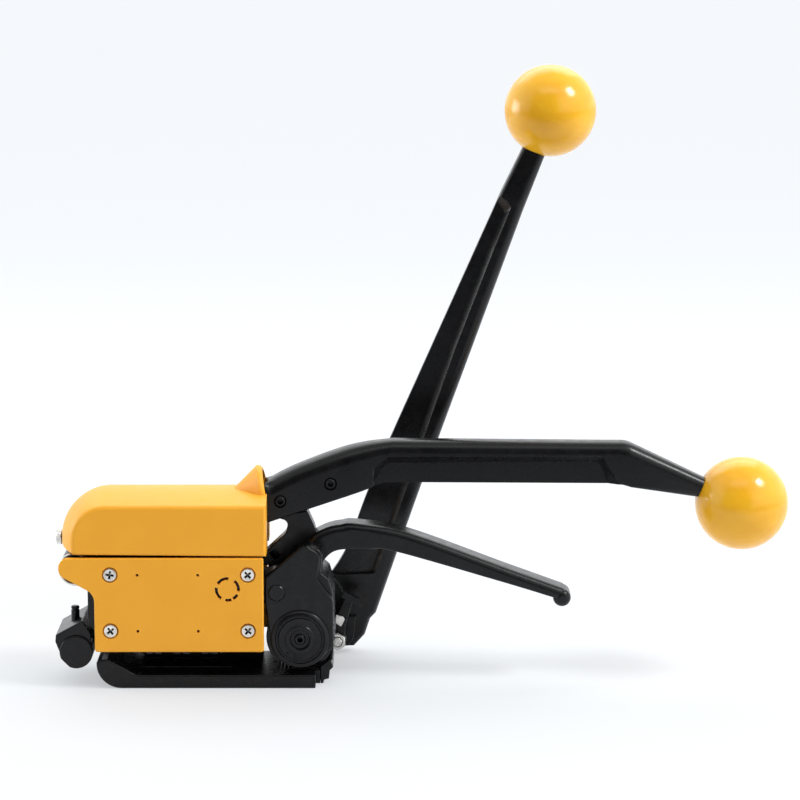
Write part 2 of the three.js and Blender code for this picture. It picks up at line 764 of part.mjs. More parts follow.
function carriage() {
  const [ax, az] = LEVER_AXIS;
  const slotMiddle = az + ECCENTRICITY * Math.sin(ECCENTRIC_START);
  const slotHalf = ECCENTRIC_RADIUS + RUNNING_GAP;
  const slotRear = ax + 3.6;
  const yokeSide = outline([
    [-117, 52.8],
    [-87, 52.8],
    [-87, 56],
    [-99, 56],
    [-102, slotMiddle + slotHalf + 3.2],
    [-114, slotMiddle + slotHalf + 3.2],
    [-114, slotMiddle + slotHalf],
    [slotRear, slotMiddle + slotHalf],
    [slotRear, slotMiddle - slotHalf],
    [-117, slotMiddle - slotHalf],
  ]);
  const middle = block([-100, -YOKE.far, 52.8], [-86, YOKE.far, 56]);
  const body = block([-87, -YOKE.far, 40], [-37, YOKE.far, 56]);
  return unite(
    plate(yokeSide, -YOKE.far, -YOKE.near),
    plate(yokeSide, YOKE.near, YOKE.far),
    middle,
    body,
  );
}

// A punch with a shallow notch across its working end.
function punch(x) {
  const side = outline([
    [x - PUNCH.width / 2, PUNCH.top],
    [x - PUNCH.width / 2, PUNCH.bottom],
    [x - 1, PUNCH.bottom],
    [x, PUNCH.bottom + 1.2],
    [x + 1, PUNCH.bottom],
    [x + PUNCH.width / 2, PUNCH.bottom],
    [x + PUNCH.width / 2, PUNCH.top],
  ]);
  return plate(side, -PUNCH.halfDepth, PUNCH.halfDepth);
}

function cutterBlade() {
  const side = outline([
    [-40.5, PUNCH.top],
    [-40.5, PUNCH.bottom + 0.4],
    [-38, PUNCH.bottom + 2],
    [-38, PUNCH.top],
  ]);
  return plate(side, -PUNCH.halfDepth - 1.5, PUNCH.halfDepth + 1.5);
}

const punches = group(root);
punches.add(mesh("punch_carriage", carriage(), "tool_steel"));
PUNCH.places.forEach((x, i) => {
  punches.add(mesh(`punch_${i + 1}`, punch(x), "tool_steel"));
});
punches.add(mesh("cutter_blade", cutterBlade(), "tool_steel"));

// ---- Rocker with its release handle ----

const CHEEK = { near: -24, far: -19.2 };
const FAR_CHEEK = { near: 14, far: 22 };
const BUSHING_RADIUS = 7.2;
const WHEEL_HALF_WIDTH = 11;

function cheekSide() {
  return outline([
    [-17.2, 56.3, 1],
    [0.6, 71.6, 4],
    [10.2, 68.6, 4],
    [9.2, 54.5, 4],
    [16.5, 43.5, 3],
    [16.6, 21.5, 2],
    [9.6, 13.9],
    [-14.7, 25.2],
    [-17.2, 43, 3],
  ]);
}

// The handle sweeps up out of the casting, arches over and slopes down to a rolled end.
function releaseHandleSide() {
  const upper = splinePoints(
    [
      [7, 66],
      [15.8, 75.4],
      [28, 79],
      [40, 78.5],
      [54, 75.6],
      [103, 57],
      [128, 46.6],
    ],
    18,
  );
  const lower = splinePoints(
    [
      [128, 40.6],
      [103, 49.3],
      [48, 65.9],
      [35, 67.4],
      [23.4, 67.2],
      [15.8, 66],
      [8, 61],
    ],
    14,
  );
  return new THREE.Shape([...upper, ...lower]);
}

function hornSide() {
  return outline([
    [9.2, 60],
    [9.4, 68],
    [7.4, 78.4],
    [3.6, 86.2, 1],
    [-11.2, 84],
    [-11.2, 82.6],
    [-6, 80.8, 3],
    [-7.4, 75, 4],
    [-22, 61.2],
    [-20.8, 58.4],
    [-4, 58.4],
    [2, 50],
  ]);
}

function rockerCasting() {
  const bridgeSide = outline([
    [-2, 42],
    [-2, 66],
    [6, 68, 2],
    [9, 64],
    [9, 56],
    [16.4, 43.6],
    [16.4, 32],
  ]);
  const handleHalf = 9;
  const rolledEnd = [131.2, 42.6];
  const squareHole = new THREE.BoxGeometry(4.4, 30, 5).rotateY(THREE.MathUtils.degToRad(-40));
  const body = unite(
    plate(cheekSide(), CHEEK.near, CHEEK.far),
    bar(BOSS_RADIUS, CHEEK.near, CHEEK.far, WHEEL_AXIS, 40),
    plate(cheekSide(), FAR_CHEEK.near, FAR_CHEEK.far),
    bar(BOSS_RADIUS, FAR_CHEEK.near, FAR_CHEEK.far, WHEEL_AXIS, 40),
    plate(bridgeSide, CHEEK.far - 1, FAR_CHEEK.near + 1),
    plate(hornSide(), -5, 5),
    plate(releaseHandleSide(), -handleHalf, handleHalf),
    bar(4.4, -handleHalf, handleHalf, rolledEnd, 20),
  );
  return cut(
    body,
    bar(WHEEL_RADIUS + 1, CHEEK.far, FAR_CHEEK.near, WHEEL_AXIS, 40),
    bar(ROCKER_LUG.radius + 0.8, CHEEK.far, FAR_CHEEK.near, ROCKER_AXIS, 32),
    bar(ROCKER_PIN.radius + RUNNING_GAP, -30, 30, ROCKER_AXIS),
    bar(BUSHING_RADIUS + RUNNING_GAP, -30, 30, WHEEL_AXIS, 28),
    bar(HOLD_PIN_RADIUS + RUNNING_GAP, 16, 30, HOLD_PAWL_AXIS, 16),
    solid(squareHole.translate(-13, 0, 64)),
  );
}

// The cap over the wheel's near bearing: a flanged disc with a raised ring, an oil hole
// and a key slot.
function bearingCap() {
  const [x, z] = WHEEL_AXIS;
  const flange = turned(
    [
      [0, -26.1],
      [BOSS_RADIUS - 1.2, -26.1],
      [BOSS_RADIUS - 0.3, -25.2],
      [BOSS_RADIUS - 0.3, CHEEK.near - 0.1],
      [0, CHEEK.near - 0.1],
    ],
    40,
  );
  const ring = bar(7.2, -26.9, -26, [0, 0], 32);
  const oilHole = bar(1, -30, -24.8, [-6.4, 18.9 - z], 10);
  const keySlot = block([-2.8, -30, -9.9], [1.2, -25.2, -7.6]);
  const centre = bar(2.9, -30, -20, [0, 0], 20);
  const piece = mesh("bearing_cap", cut(unite(flange, ring), oilHole, keySlot, centre), "casting");
  piece.position.set(x, 0, z);
  return piece;
}

function bushing(near, far) {
  return cut(
    bar(BUSHING_RADIUS, near, far, WHEEL_AXIS, 28),
    bar(SHAFT_RADIUS + RUNNING_GAP, near - 1, far + 1, WHEEL_AXIS, 28),
  );
}

const rocker = group(root);
rocker.add(mesh("rocker_casting", rockerCasting(), "casting"));
rocker.add(bearingCap());
rocker.add(mesh("near_bushing", bushing(CHEEK.near + 0.1, CHEEK.far - 0.1), "bronze"));
rocker.add(mesh("far_bushing", bushing(FAR_CHEEK.near + 0.1, FAR_CHEEK.far - 0.1), "bronze"));
const holdPawlPin = bar(HOLD_PIN_RADIUS, 16.5, 36.5, HOLD_PAWL_AXIS, 16);
rocker.add(mesh("hold_pawl_pin", holdPawlPin, "dark_steel"));

// ---- Feed wheel, ratchet wheel and their shaft ----

// A toothed outline about the wheel's axis: each tooth rises steeply and falls gently.
function toothedSide(teeth, tip, rootRadius, fall) {
  const step = (2 * Math.PI) / teeth;
  const points = [];
  for (let i = 0; i < teeth; i++) {
    const start = i * step;
    points.push(polar(rootRadius, start, WHEEL_AXIS));
    points.push(polar(tip, start + step * 0.04, WHEEL_AXIS));
    points.push(polar(tip, start + step * fall, WHEEL_AXIS));
  }
  return outline(points);
}

const shaftBore = () => bar(SHAFT_RADIUS + RUNNING_GAP, -70, 70, WHEEL_AXIS, 28);

function wheelShaft() {
  const nearStub = bar(2.6, -26.4, -23.4, WHEEL_AXIS, 20);
  const body = bar(SHAFT_RADIUS, -23.6, 65, WHEEL_AXIS, 28);
  return cut(unite(body, nearStub), bar(1.5, -30, -24.6, WHEEL_AXIS, 6));
}

function shaftNut() {
  const [x, z] = WHEEL_AXIS;
  const geometry = new THREE.CylinderGeometry(9, 9, 4.4, 6);
  return cut(solid(geometry.translate(x, 62.4, z)), shaftBore());
}

const feedWheel = group(rocker);
const wheelSide = toothedSide(32, WHEEL_RADIUS, WHEEL_RADIUS - 0.7, 0.3);
const wheelBody = plate(wheelSide, -WHEEL_HALF_WIDTH, WHEEL_HALF_WIDTH);
feedWheel.add(mesh("feed_wheel", cut(wheelBody, shaftBore()), "tool_steel"));
const ratchetSide = toothedSide(RATCHET.teeth, RATCHET.tip, RATCHET.root, 0.3);
const ratchetBody = plate(ratchetSide, RATCHET.near, RATCHET.far);
feedWheel.add(mesh("ratchet_wheel", cut(ratchetBody, shaftBore()), "tool_steel"));
const spacer = cut(bar(8, 22.4, RATCHET.near - 0.2, WHEEL_AXIS), shaftBore());
feedWheel.add(mesh("ratchet_spacer", spacer, "dark_steel"));
feedWheel.add(mesh("wheel_shaft", wheelShaft(), "dark_steel"));
feedWheel.add(mesh("shaft_nut", shaftNut(), "bright_steel"));

// ---- Tension lever ----

const TENSION = { near: TENSION_PLANE - 6, far: TENSION_PLANE + 6, foot: 3.2 };
const HUB_DISC_RADIUS = WHEEL_AXIS[1] - TENSION.foot;

// The lever tapers from its foot to the knob; the foot wraps round the hub.
function tensionSide() {
  const end = polar(KNOB_FLAT + 0.2, TENSION_BAR_ANGLE, TENSION_KNOB);
  const corner = (across) => polar(across, TENSION_BAR_ANGLE + Math.PI / 2, end);
  return outline([
    [0, TENSION.foot],
    [27.5, TENSION.foot, 8],
    [36, 17, 6],
    [60.4, 87.4],
    [105.4, 211.5],
    corner(6),
    corner(-6),
    [101.3, 240.7],
    [44.8, 113.3],
    [25, 58, 10],
    [10, 40],
  ]);
}

// The recess in either face leaves a rib along the rear edge and a thin web.
function tensionPocketSide() {
  return outline([
    [20, 62],
    [44, 62, 4],
    [98.2, 213, 3],
    [104.5, 238, 2],
    [96, 244],
    [60, 190],
  ]);
}

function tensionLever() {
  const webHalf = 2.2;
  const body = unite(
    plate(tensionSide(), TENSION.near, TENSION.far),
    bar(HUB_DISC_RADIUS, TENSION.near - 3, TENSION.far, WHEEL_AXIS, 48),
    bar(11, 37, TENSION.near, WHEEL_AXIS, 32),
    plate(outline([[4, TENSION.foot + 1], [25, TENSION.foot + 1, 6], [27, 20], [4, 20]]), 44, 50),
  );
  return cut(
    body,
    plate(tensionPocketSide(), TENSION.near - 5, TENSION_PLANE - webHalf),
    plate(tensionPocketSide(), TENSION_PLANE + webHalf, TENSION.far + 5),
    shaftBore(),
    bar(PAWL_PIN_RADIUS + RUNNING_GAP, 40, 50, DRIVE_PAWL_AXIS, 18),
    studCutter(TENSION_KNOB, TENSION_BAR_ANGLE, TENSION_PLANE),
  );
}

function pawlNut() {
  const [x, z] = DRIVE_PAWL_AXIS;
  const geometry = new THREE.CylinderGeometry(4.6, 4.6, 3, 6);
  return cut(
    solid(geometry.translate(x, 26.8, z)),
    bar(PAWL_PIN_RADIUS + RUNNING_GAP, 20, 30, DRIVE_PAWL_AXIS, 18),
  );
}

const tension = group(rocker);
tension.add(mesh("tension_lever", tensionLever(), "casting"));
tension.add(mesh("tension_knob", knob(TENSION_KNOB, TENSION_BAR_ANGLE, TENSION_PLANE), "knob"));
const tensionStud = studAlong(
  TENSION_KNOB,
  TENSION_BAR_ANGLE,
  TENSION_PLANE,
  STUD_RADIUS,
  STUD_REACH,
);
tension.add(mesh("tension_knob_stud", tensionStud, "bright_steel"));
const pawlPin = bar(PAWL_PIN_RADIUS, 24.8, 49.5, DRIVE_PAWL_AXIS, 18);
tension.add(mesh("pawl_pin", pawlPin, "bright_steel"));
tension.add(mesh("pawl_nut", pawlNut(), "bright_steel"));

// ---- Pawls ----

const PAWL = { near: 29, far: 35, toothGap: 0.8 }; // each pawl rests this far off the teeth
const TAIL_MIDDLE = [24, 33.3];

// The driving pawl: an eye, a tooth that faces the ratchet and a T-shaped tail.
function drivePawl() {
  const [x, z] = DRIVE_PAWL_AXIS;
  const tooth = polar(RATCHET.tip + PAWL.toothGap, THREE.MathUtils.degToRad(-14), WHEEL_AXIS);
  const side = outline([
    [x - 3.4, z + 2],
    [x + 3.6, z],
    [x + 4.2, z + 8],
    [TAIL_MIDDLE[0] + 1.6, TAIL_MIDDLE[1] - 1.4],
    [TAIL_MIDDLE[0] - 2.2, TAIL_MIDDLE[1] + 0.6],
    [x - 0.6, z + 12.6],
    tooth,
  ]);
  const tail = new THREE.BoxGeometry(8.4, PAWL.far - PAWL.near, 3.2);
  tail.rotateY(THREE.MathUtils.degToRad(29));
  tail.translate(TAIL_MIDDLE[0], (PAWL.near + PAWL.far) / 2, TAIL_MIDDLE[1]);
  const body = unite(
    plate(side, PAWL.near, PAWL.far),
    bar(4.6, PAWL.near, PAWL.far, DRIVE_PAWL_AXIS, 24),
    solid(tail),
  );
  return cut(body, bar(PAWL_PIN_RADIUS + RUNNING_GAP, 20, 40, DRIVE_PAWL_AXIS, 18));
}

// A flat spring tab on the pawl's near face.
function pawlSpringTab() {
  const side = outline([
    [16.4, 20.6],
    [19.4, 18.6],
    [21.4, 22.6],
    [20.2, 24.2],
    [16.6, 24.8],
  ]);
  return plate(side, PAWL.near - 1.6, PAWL.near - 0.1);
}

function holdPawl() {
  const [x, z] = HOLD_PAWL_AXIS;
  const tooth = polar(RATCHET.tip + PAWL.toothGap, THREE.MathUtils.degToRad(171), WHEEL_AXIS);
  const side = outline([
    [x + 2.4, z - 1],
    [x - 3.6, z],
    [x - 4.6, z - 10],
    tooth,
  ]);
  const body = unite(
    plate(side, PAWL.near, PAWL.far),
    bar(3.8, PAWL.near, PAWL.far, HOLD_PAWL_AXIS, 20),
  );
  return cut(body, bar(HOLD_PIN_RADIUS + RUNNING_GAP, 20, 40, HOLD_PAWL_AXIS, 16));
}

const drive = group(tension);
drive.add(mesh("drive_pawl", drivePawl(), "casting"));
drive.add(mesh("pawl_spring_tab", pawlSpringTab(), "bright_steel"));
const hold = group(rocker);
hold.add(mesh("hold_pawl", holdPawl(), "tool_steel"));

// ---- Strap gate at the front ----

const GATE = { near: -20, far: 14.4, hub: 8.3, hubFar: 10.4 };
const FINGER = { x: -113.4, y: -6, radius: 2.1, top: 38 };

function strapGate() {
  const side = outline([
    [-122, 26.1, 0.6],
    [-108.7, 33.5, 0.6],
    [-104.4, 26.5, 1],
    [-104.6, 18],
    [-120.1, 17],
    [-122.3, 22.6],
  ]);
  const hub = cut(
    bar(GATE.hub, GATE.near - 1.8, GATE.hubFar, GATE_AXIS, 28),
    plate(outline([[-124, 4], [-114, 4], [-114, 9], [-120.4, 15.4], [-124, 15.4]]), -30, 30),
  );
  const springSpace = block([-130, GATE.hubFar, 0], [-100, GATE.far + 1, 23.6]);
  const body = unite(cut(plate(side, GATE.near, GATE.far), springSpace), hub);
  const fingerHole = new THREE.CylinderGeometry(FINGER.radius + 0.1, FINGER.radius + 0.1, 20, 18);
  fingerHole.rotateX(Math.PI / 2).translate(FINGER.x, FINGER.y, 37);
  return cut(
    body,
    bar(GATE_PIN_RADIUS + RUNNING_GAP, -19.9, 20, GATE_AXIS),
    solid(fingerHole),
  );
}

function fingerPin() {
  const geometry = new THREE.CylinderGeometry(FINGER.radius, FINGER.radius, FINGER.top - 27.4, 18);
  geometry.rotateX(Math.PI / 2).translate(FINGER.x, FINGER.y, (FINGER.top + 27.4) / 2);
  return solid(geometry);
}

const gate = group(root);
gate.add(mesh("strap_gate", strapGate(), "casting"));
gate.add(mesh("gate_finger_pin", fingerPin(), "dark_steel"));

export default root;
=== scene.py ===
"""The looks of a hand tool for steel strap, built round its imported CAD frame.

Lengths are millimetres in the frame's axes until a mesh is made: X runs along the strap towards the
long lever's knob, Y runs across the tool (negative on the open near side) and Z is up.
"""

import json
import math

import bmesh
import bpy
from mathutils import Matrix, Vector


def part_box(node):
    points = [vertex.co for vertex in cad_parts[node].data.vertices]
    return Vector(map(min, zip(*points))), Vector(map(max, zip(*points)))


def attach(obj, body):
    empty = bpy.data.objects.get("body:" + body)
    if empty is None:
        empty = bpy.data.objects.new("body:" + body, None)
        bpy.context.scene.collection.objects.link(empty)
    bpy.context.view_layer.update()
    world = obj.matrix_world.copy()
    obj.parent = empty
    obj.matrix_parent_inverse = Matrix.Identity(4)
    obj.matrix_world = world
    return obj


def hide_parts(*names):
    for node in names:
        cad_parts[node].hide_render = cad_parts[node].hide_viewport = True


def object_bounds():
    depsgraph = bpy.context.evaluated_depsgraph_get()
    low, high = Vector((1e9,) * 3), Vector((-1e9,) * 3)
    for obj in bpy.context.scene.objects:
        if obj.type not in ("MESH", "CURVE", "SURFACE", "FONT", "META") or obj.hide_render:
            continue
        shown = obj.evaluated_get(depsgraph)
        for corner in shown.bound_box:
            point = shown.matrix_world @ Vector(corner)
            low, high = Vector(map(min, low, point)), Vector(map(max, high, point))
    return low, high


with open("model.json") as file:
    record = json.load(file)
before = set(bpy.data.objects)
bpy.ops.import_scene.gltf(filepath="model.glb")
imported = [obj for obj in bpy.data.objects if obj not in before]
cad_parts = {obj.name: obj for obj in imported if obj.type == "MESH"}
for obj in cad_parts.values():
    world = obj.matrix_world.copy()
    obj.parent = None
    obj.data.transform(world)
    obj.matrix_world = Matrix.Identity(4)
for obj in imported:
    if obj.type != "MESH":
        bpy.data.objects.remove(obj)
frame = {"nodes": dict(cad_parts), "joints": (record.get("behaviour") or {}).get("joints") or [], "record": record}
cad_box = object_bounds()

MM = 0.001
ARC_STEP = math.radians(6)

# ---- Places taken from the frame ----

record = frame["record"]
NODE_SLOT = {part["node"]: part["material_slot"] for part in record["subparts"]}
NODE_BODY = {node: body for body, nodes in record["behaviour"]["bodies"].items() for node in nodes}


class Box:
    """A CAD node's extent in millimetres, by the sides of the tool."""

    def __init__(self, node):
        low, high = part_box(node)
        self.front, self.near, self.bottom = (value / MM for value in low)
        self.rear, self.far, self.top = (value / MM for value in high)
        self.middle = ((self.front + self.rear) / 2, (self.bottom + self.top) / 2)
        self.middle_y = (self.near + self.far) / 2
        self.half_width = (self.far - self.near) / 2
        self.radius = (self.top - self.bottom) / 2


def pivot(joint):
    """The x and z of a joint's axis."""
    place = next(j["pos_m"] for j in frame["joints"] if j["name"] == joint)
    return place[0] / MM, place[2] / MM


LEVER_AXIS = pivot("sealing_lever_hinge")
ROCKER_AXIS = pivot("rocker_hinge")
WHEEL_AXIS = pivot("feed_wheel_spin")
GATE_AXIS = pivot("strap_gate_hinge")
DRIVE_PAWL_AXIS = pivot("drive_pawl_hinge")
HOLD_PAWL_AXIS = pivot("hold_pawl_hinge")

# ---- Outlines in the X Z plane ----


def polar(radius, degrees, centre=(0, 0)):
    angle = math.radians(degrees)
    return centre[0] + radius * math.cos(angle), centre[1] + radius * math.sin(angle)


def outline(corners, arc_steps=None):
    """A closed outline from corners (x, z), or (x, z, radius) where a corner is rounded."""
    points = []
    for i, corner in enumerate(corners):
        here = Vector(corner[:2])
        if len(corner) == 2:
            points.append(tuple(here))
            continue
        back = (Vector(corners[i - 1][:2]) - here).normalized()
        ahead = (Vector(corners[(i + 1) % len(corners)][:2]) - here).normalized()
        half = back.angle(ahead) / 2
        centre = here + (back + ahead).normalized() * corner[2] / math.sin(half)
        start = here + back * corner[2] / math.tan(half) - centre
        end = here + ahead * corner[2] / math.tan(half) - centre
        sweep = math.atan2(start.x * end.y - start.y * end.x, start.dot(end))
        first = math.degrees(math.atan2(start.y, start.x))
        steps = arc_steps or max(3, math.ceil(abs(sweep) / ARC_STEP - 0.3))
        for k in range(steps + 1):
            turn = math.degrees(sweep) * k / steps
            points.append(polar(corner[2], first + turn, tuple(centre)))
    return points


def circle(radius, centre=(0, 0), sides=96):
    return [polar(radius, 360 * i / sides, centre) for i in range(sides)]


def spline(points, divisions):
    """Points along a smooth curve through the points given."""
    curve = []
    last = len(points) - 1
    for i in range(divisions + 1):
        whole, part = divmod(last * i / divisions, 1)
        k = min(int(whole), last - 1)
        t = part if whole < last else 1.0
        before, start = Vector(points[max(k - 1, 0)]), Vector(points[k])
        end, after = Vector(points[k + 1]), Vector(points[min(k + 2, last)])
        leave, arrive = (end - before) / 2, (after - start) / 2
        cubic = (2 * start - 2 * end + leave + arrive) * t**3
        square = (3 * end - 3 * start - 2 * leave - arrive) * t**2
        curve.append(tuple(cubic + square + leave * t + start))
    return curve


def inset(points, distance):
    """An outline moved inwards; a sharp corner moves further, up to a limit."""
    least_share = 0.35
    area = sum(a[0] * b[1] - b[0] * a[1] for a, b in zip(points, points[1:] + points[:1]))
    inward = 1 if area > 0 else -1
    moved = []
    for i, point in enumerate(points):
        back = (Vector(point) - Vector(points[i - 1])).normalized()
        ahead = (Vector(points[(i + 1) % len(points)]) - Vector(point)).normalized()
        normals = [Vector((-edge.y, edge.x)) * inward for edge in (back, ahead)]
        miter = (normals[0] + normals[1]) / max(least_share, 1 + normals[0].dot(normals[1]))
        moved.append(tuple(Vector(point) + miter * distance))
    return moved


# ---- Solids ----


def new_object(shape):
    """A closed bmesh as an object, with its faces pointing out."""
    bmesh.ops.recalc_face_normals(shape, faces=shape.faces)
    mesh = bpy.data.meshes.new("piece")
    shape.to_mesh(mesh)
    shape.free()
    made = bpy.data.objects.new("piece", mesh)
    bpy.context.scene.collection.objects.link(made)
    return made


def skin(rings):
    """A solid through rings of (x, y, z) points, closed at the first and last ring."""
    shape = bmesh.new()
    loops = [[shape.verts.new(Vector(point) * MM) for point in ring] for ring in rings]
    for one, two in zip(loops, loops[1:]):
        for i in range(len(one)):
            j = (i + 1) % len(one)
            shape.faces.new((one[i], one[j], two[j], two[i]))
    shape.faces.new(loops[0])
    shape.faces.new(loops[-1][::-1])
    return new_object(shape)


def quarter(radius):
    """(inset, depth) pairs round a quarter circle, from a face to the side below it."""
    if not radius:
        return [(0, 0)]
    steps = 5
    angles = [math.pi / 2 * k / steps for k in range(steps + 1)]
    return [(radius * (1 - math.sin(a)), radius * (1 - math.cos(a))) for a in angles]


def layer(points, y):
    return [(x, y, z) for x, z in points]


def slab(points, near, far, edge=0.0):
    """A plate across the tool whose two faces have rounded edges."""
    sections = [(near + depth, gap) for gap, depth in quarter(edge)]
    sections += [(far - depth, gap) for gap, depth in reversed(quarter(edge))]
    return skin([layer(inset(points, gap), y) for y, gap in sections])


def tapered(face_corners, floor_corners, face, floor):
    """A cutter that narrows from a face's corners to those of the recess's floor."""
    ends = ((face_corners, face), (floor_corners, floor))
    return skin([layer(outline(corners, arc_steps=5), y) for corners, y in ends])


def beam(stations, middle=0.0):
    """A bar through stations (low, high, half width, low radius, high radius).

    Low and high are the ends of the section in the X Z plane; its corners are rounded at each end.
    """
    rings = []
    for low, high, half, low_radius, high_radius in stations:
        low, high = Vector(low), Vector(high)
        up = (high - low).normalized()
        height = (high - low).length
        section = []
        for radius, steps, start, centre_up in (
            (low_radius, 4, -90, low_radius),
            (high_radius, 12, 0, height - high_radius),
        ):
            for k in range(steps + 1):
                section.append(polar(radius, start + 90 * k / steps, (half - radius, centre_up)))
        mirrored = [(-across, along) for across, along in reversed(section)]
        ring = []
        for across, along in section + mirrored:
            point = low + up * along
            ring.append((point.x, middle + across, point.y))
        rings.append(ring)
    return skin(rings)


def bar(radius, near, far, centre=(0, 0), edge=0.0, sides=96):
    """A round bar across the tool."""
    return slab(circle(radius, centre, sides), near, far, edge)


def turned(profile, sides=96):
    """A solid of (radius, y) points about the Y axis, with a flat disc at each end."""
    return skin([layer(circle(radius, sides=sides), y) for radius, y in profile])


def block(low, high):
    """A box between two (x, y, z) corners."""
    corners = [(low[0], low[2]), (high[0], low[2]), (high[0], high[2]), (low[0], high[2])]
    return slab(corners, low[1], high[1])


def place(piece, x, y, z, turn=Matrix.Identity(4)):
    """Turns a solid about the origin, then moves it."""
    piece.data.transform(Matrix.Translation(Vector((x, y, z)) * MM) @ turn)
    return piece


def turn_about(axis, degrees):
    return Matrix.Rotation(math.radians(degrees), 4, axis)


def bake(piece):
    """Applies a piece's modifiers."""
    depsgraph = bpy.context.evaluated_depsgraph_get()
    baked = bpy.data.meshes.new_from_object(piece.evaluated_get(depsgraph))
    piece.modifiers.clear()
    old = piece.data
    piece.data = baked
    bpy.data.meshes.remove(old)


def merge_slivers(piece):
    """Joins the flat faces and short edges that a boolean leaves, so that corners round evenly."""
    shortest = 0.02 * MM
    level = math.radians(0.15)
    shape = bmesh.new()
    shape.from_mesh(piece.data)
    bmesh.ops.remove_doubles(shape, verts=shape.verts, dist=shortest)
    bmesh.ops.dissolve_degenerate(shape, edges=shape.edges, dist=shortest)
    bmesh.ops.dissolve_limit(shape, verts=shape.verts, edges=shape.edges, angle_limit=level)
    shape.to_mesh(piece.data)
    shape.free()
    return piece


def combine(base, tools, operation):
    """The base after a boolean with each tool in turn; the tools are used up."""
    for tool in tools:
        step = base.modifiers.new("step", "BOOLEAN")
        step.operation = operation
        step.solver = "MANIFOLD"
        step.object = tool
    bake(base)
    for tool in tools:
        bpy.data.objects.remove(tool)
    return merge_slivers(base)


def unite(base, *tools):
    return combine(base, tools, "UNION")


def cut(base, *tools):
    return combine(base, tools, "DIFFERENCE")


# ---- Materials ----


class Look:
    """A node material under construction; sizes of its detail are in millimetres."""

    def __init__(self):
        self.material = bpy.data.materials.new("finish")
        self.material.use_nodes = True
        self.tree = self.material.node_tree
        self.surface = self.tree.nodes["Principled BSDF"]
        self.place = self.add("ShaderNodeTexCoord").outputs["Object"]

    def add(self, kind, settings=None, **inputs):
        node = self.tree.nodes.new(kind)
        for name, value in (settings or {}).items():
            setattr(node, name, value)
        for name, value in inputs.items():
            self.feed(node.inputs[name.replace("_", " ")], value)
        return node

    def feed(self, socket, value):
        if isinstance(value, bpy.types.NodeSocket):
            self.tree.links.new(value, socket)
        else:
            socket.default_value = value

    def set(self, name, value):
        self.feed(self.surface.inputs[name], value)

    def noise(self, size, detail=3.0, stretch=(1, 1, 1), distortion=0.0):
        mapped = self.add("ShaderNodeMapping", Vector=self.place, Scale=stretch)
        inputs = {"Scale": 1 / (size * MM), "Detail": detail, "Distortion": distortion}
        return self.add("ShaderNodeTexNoise", Vector=mapped.outputs["Vector"], **inputs).outputs["Fac"]

    def ramp(self, value, start, end, low=0.0, high=1.0):
        inputs = {"From_Min": start, "From_Max": end, "To_Min": low, "To_Max": high}
        return self.add("ShaderNodeMapRange", Value=value, **inputs).outputs["Result"]

    def mix(self, factor, first, second):
        first, second = ((*c, 1) if isinstance(c, tuple) else c for c in (first, second))
        return self.add("ShaderNodeMixRGB", Fac=factor, Color1=first, Color2=second).outputs["Color"]

    def product(self, first, second):
        node = self.add("ShaderNodeMath", {"operation": "MULTIPLY"})
        self.feed(node.inputs[0], first)
        self.feed(node.inputs[1], second)
        return node.outputs["Value"]

    def bumps(self, layers):
        """Layers of (height, depth in millimetres), each over the one before."""
        normal = None
        for height, depth in layers:
            bump = self.add("ShaderNodeBump", Height=height, Distance=depth * MM)
            if normal:
                self.feed(bump.inputs["Normal"], normal)
            normal = bump.outputs["Normal"]
        self.set("Normal", normal)

    def edge_mask(self, radius):
        """1 on corners sharper than the radius, and 0 on flat faces."""
        rounded = self.add("ShaderNodeBevel", {"samples": 4}, Radius=radius * MM)
        geometry = self.add("ShaderNodeNewGeometry")
        facing = self.add("ShaderNodeVectorMath", {"operation": "DOT_PRODUCT"})
        self.feed(facing.inputs[0], rounded.outputs["Normal"])
        self.feed(facing.inputs[1], geometry.outputs["Normal"])
        flat, corner = 0.99, 0.88
        return self.ramp(facing.outputs["Value"], flat, corner)


def painted(colour, deep, pale, rim_highlight_strength):
    """Powder coat: cloudy colour, orange peel, fine dust, and a painted highlight that makes the corners paler in
    broken patches.
    """
    look = Look()
    cloud = look.ramp(look.noise(26, 4), 0.35, 0.65)
    base = look.mix(cloud, deep, colour)
    # Paler patches on the corners: a painted highlight standing in for light on the rounded rims.
    edge = look.product(look.edge_mask(0.7), look.ramp(look.noise(3.2, 6), 0.3, 0.55))
    look.set("Base Color", look.mix(look.product(edge, rim_highlight_strength), base, pale))
    look.set("Roughness", look.ramp(look.noise(7, 5), 0.3, 0.7, 0.4, 0.5))
    look.set("Specular IOR Level", 0.3)
    look.bumps([(look.noise(1.1, 2), 0.012), (look.noise(0.25, 2), 0.004)])
    return look.material


def moulded_ball(colour, deep, pale):
    """Glossy moulded plastic with slightly uneven pigment."""
    look = Look()
    swirl = look.ramp(look.noise(30, 2, (1, 1, 1.6), 0.8), 0.36, 0.66)
    streak = look.ramp(look.noise(12, 3, (1, 1, 2), 1.0), 0.5, 0.75, 0, 0.16)
    look.set("Base Color", look.mix(streak, look.mix(swirl, deep, colour), pale))
    look.set("Roughness", look.ramp(look.noise(5, 4), 0.3, 0.7, 0.17, 0.24))
    look.set("Specular IOR Level", 0.48)
    look.set("Subsurface Weight", 0.1)
    look.set("Subsurface Radius", (0.004, 0.002, 0.0006))
    look.bumps([(look.noise(8, 2), 0.02), (look.noise(0.6, 3), 0.0015)])
    return look.material


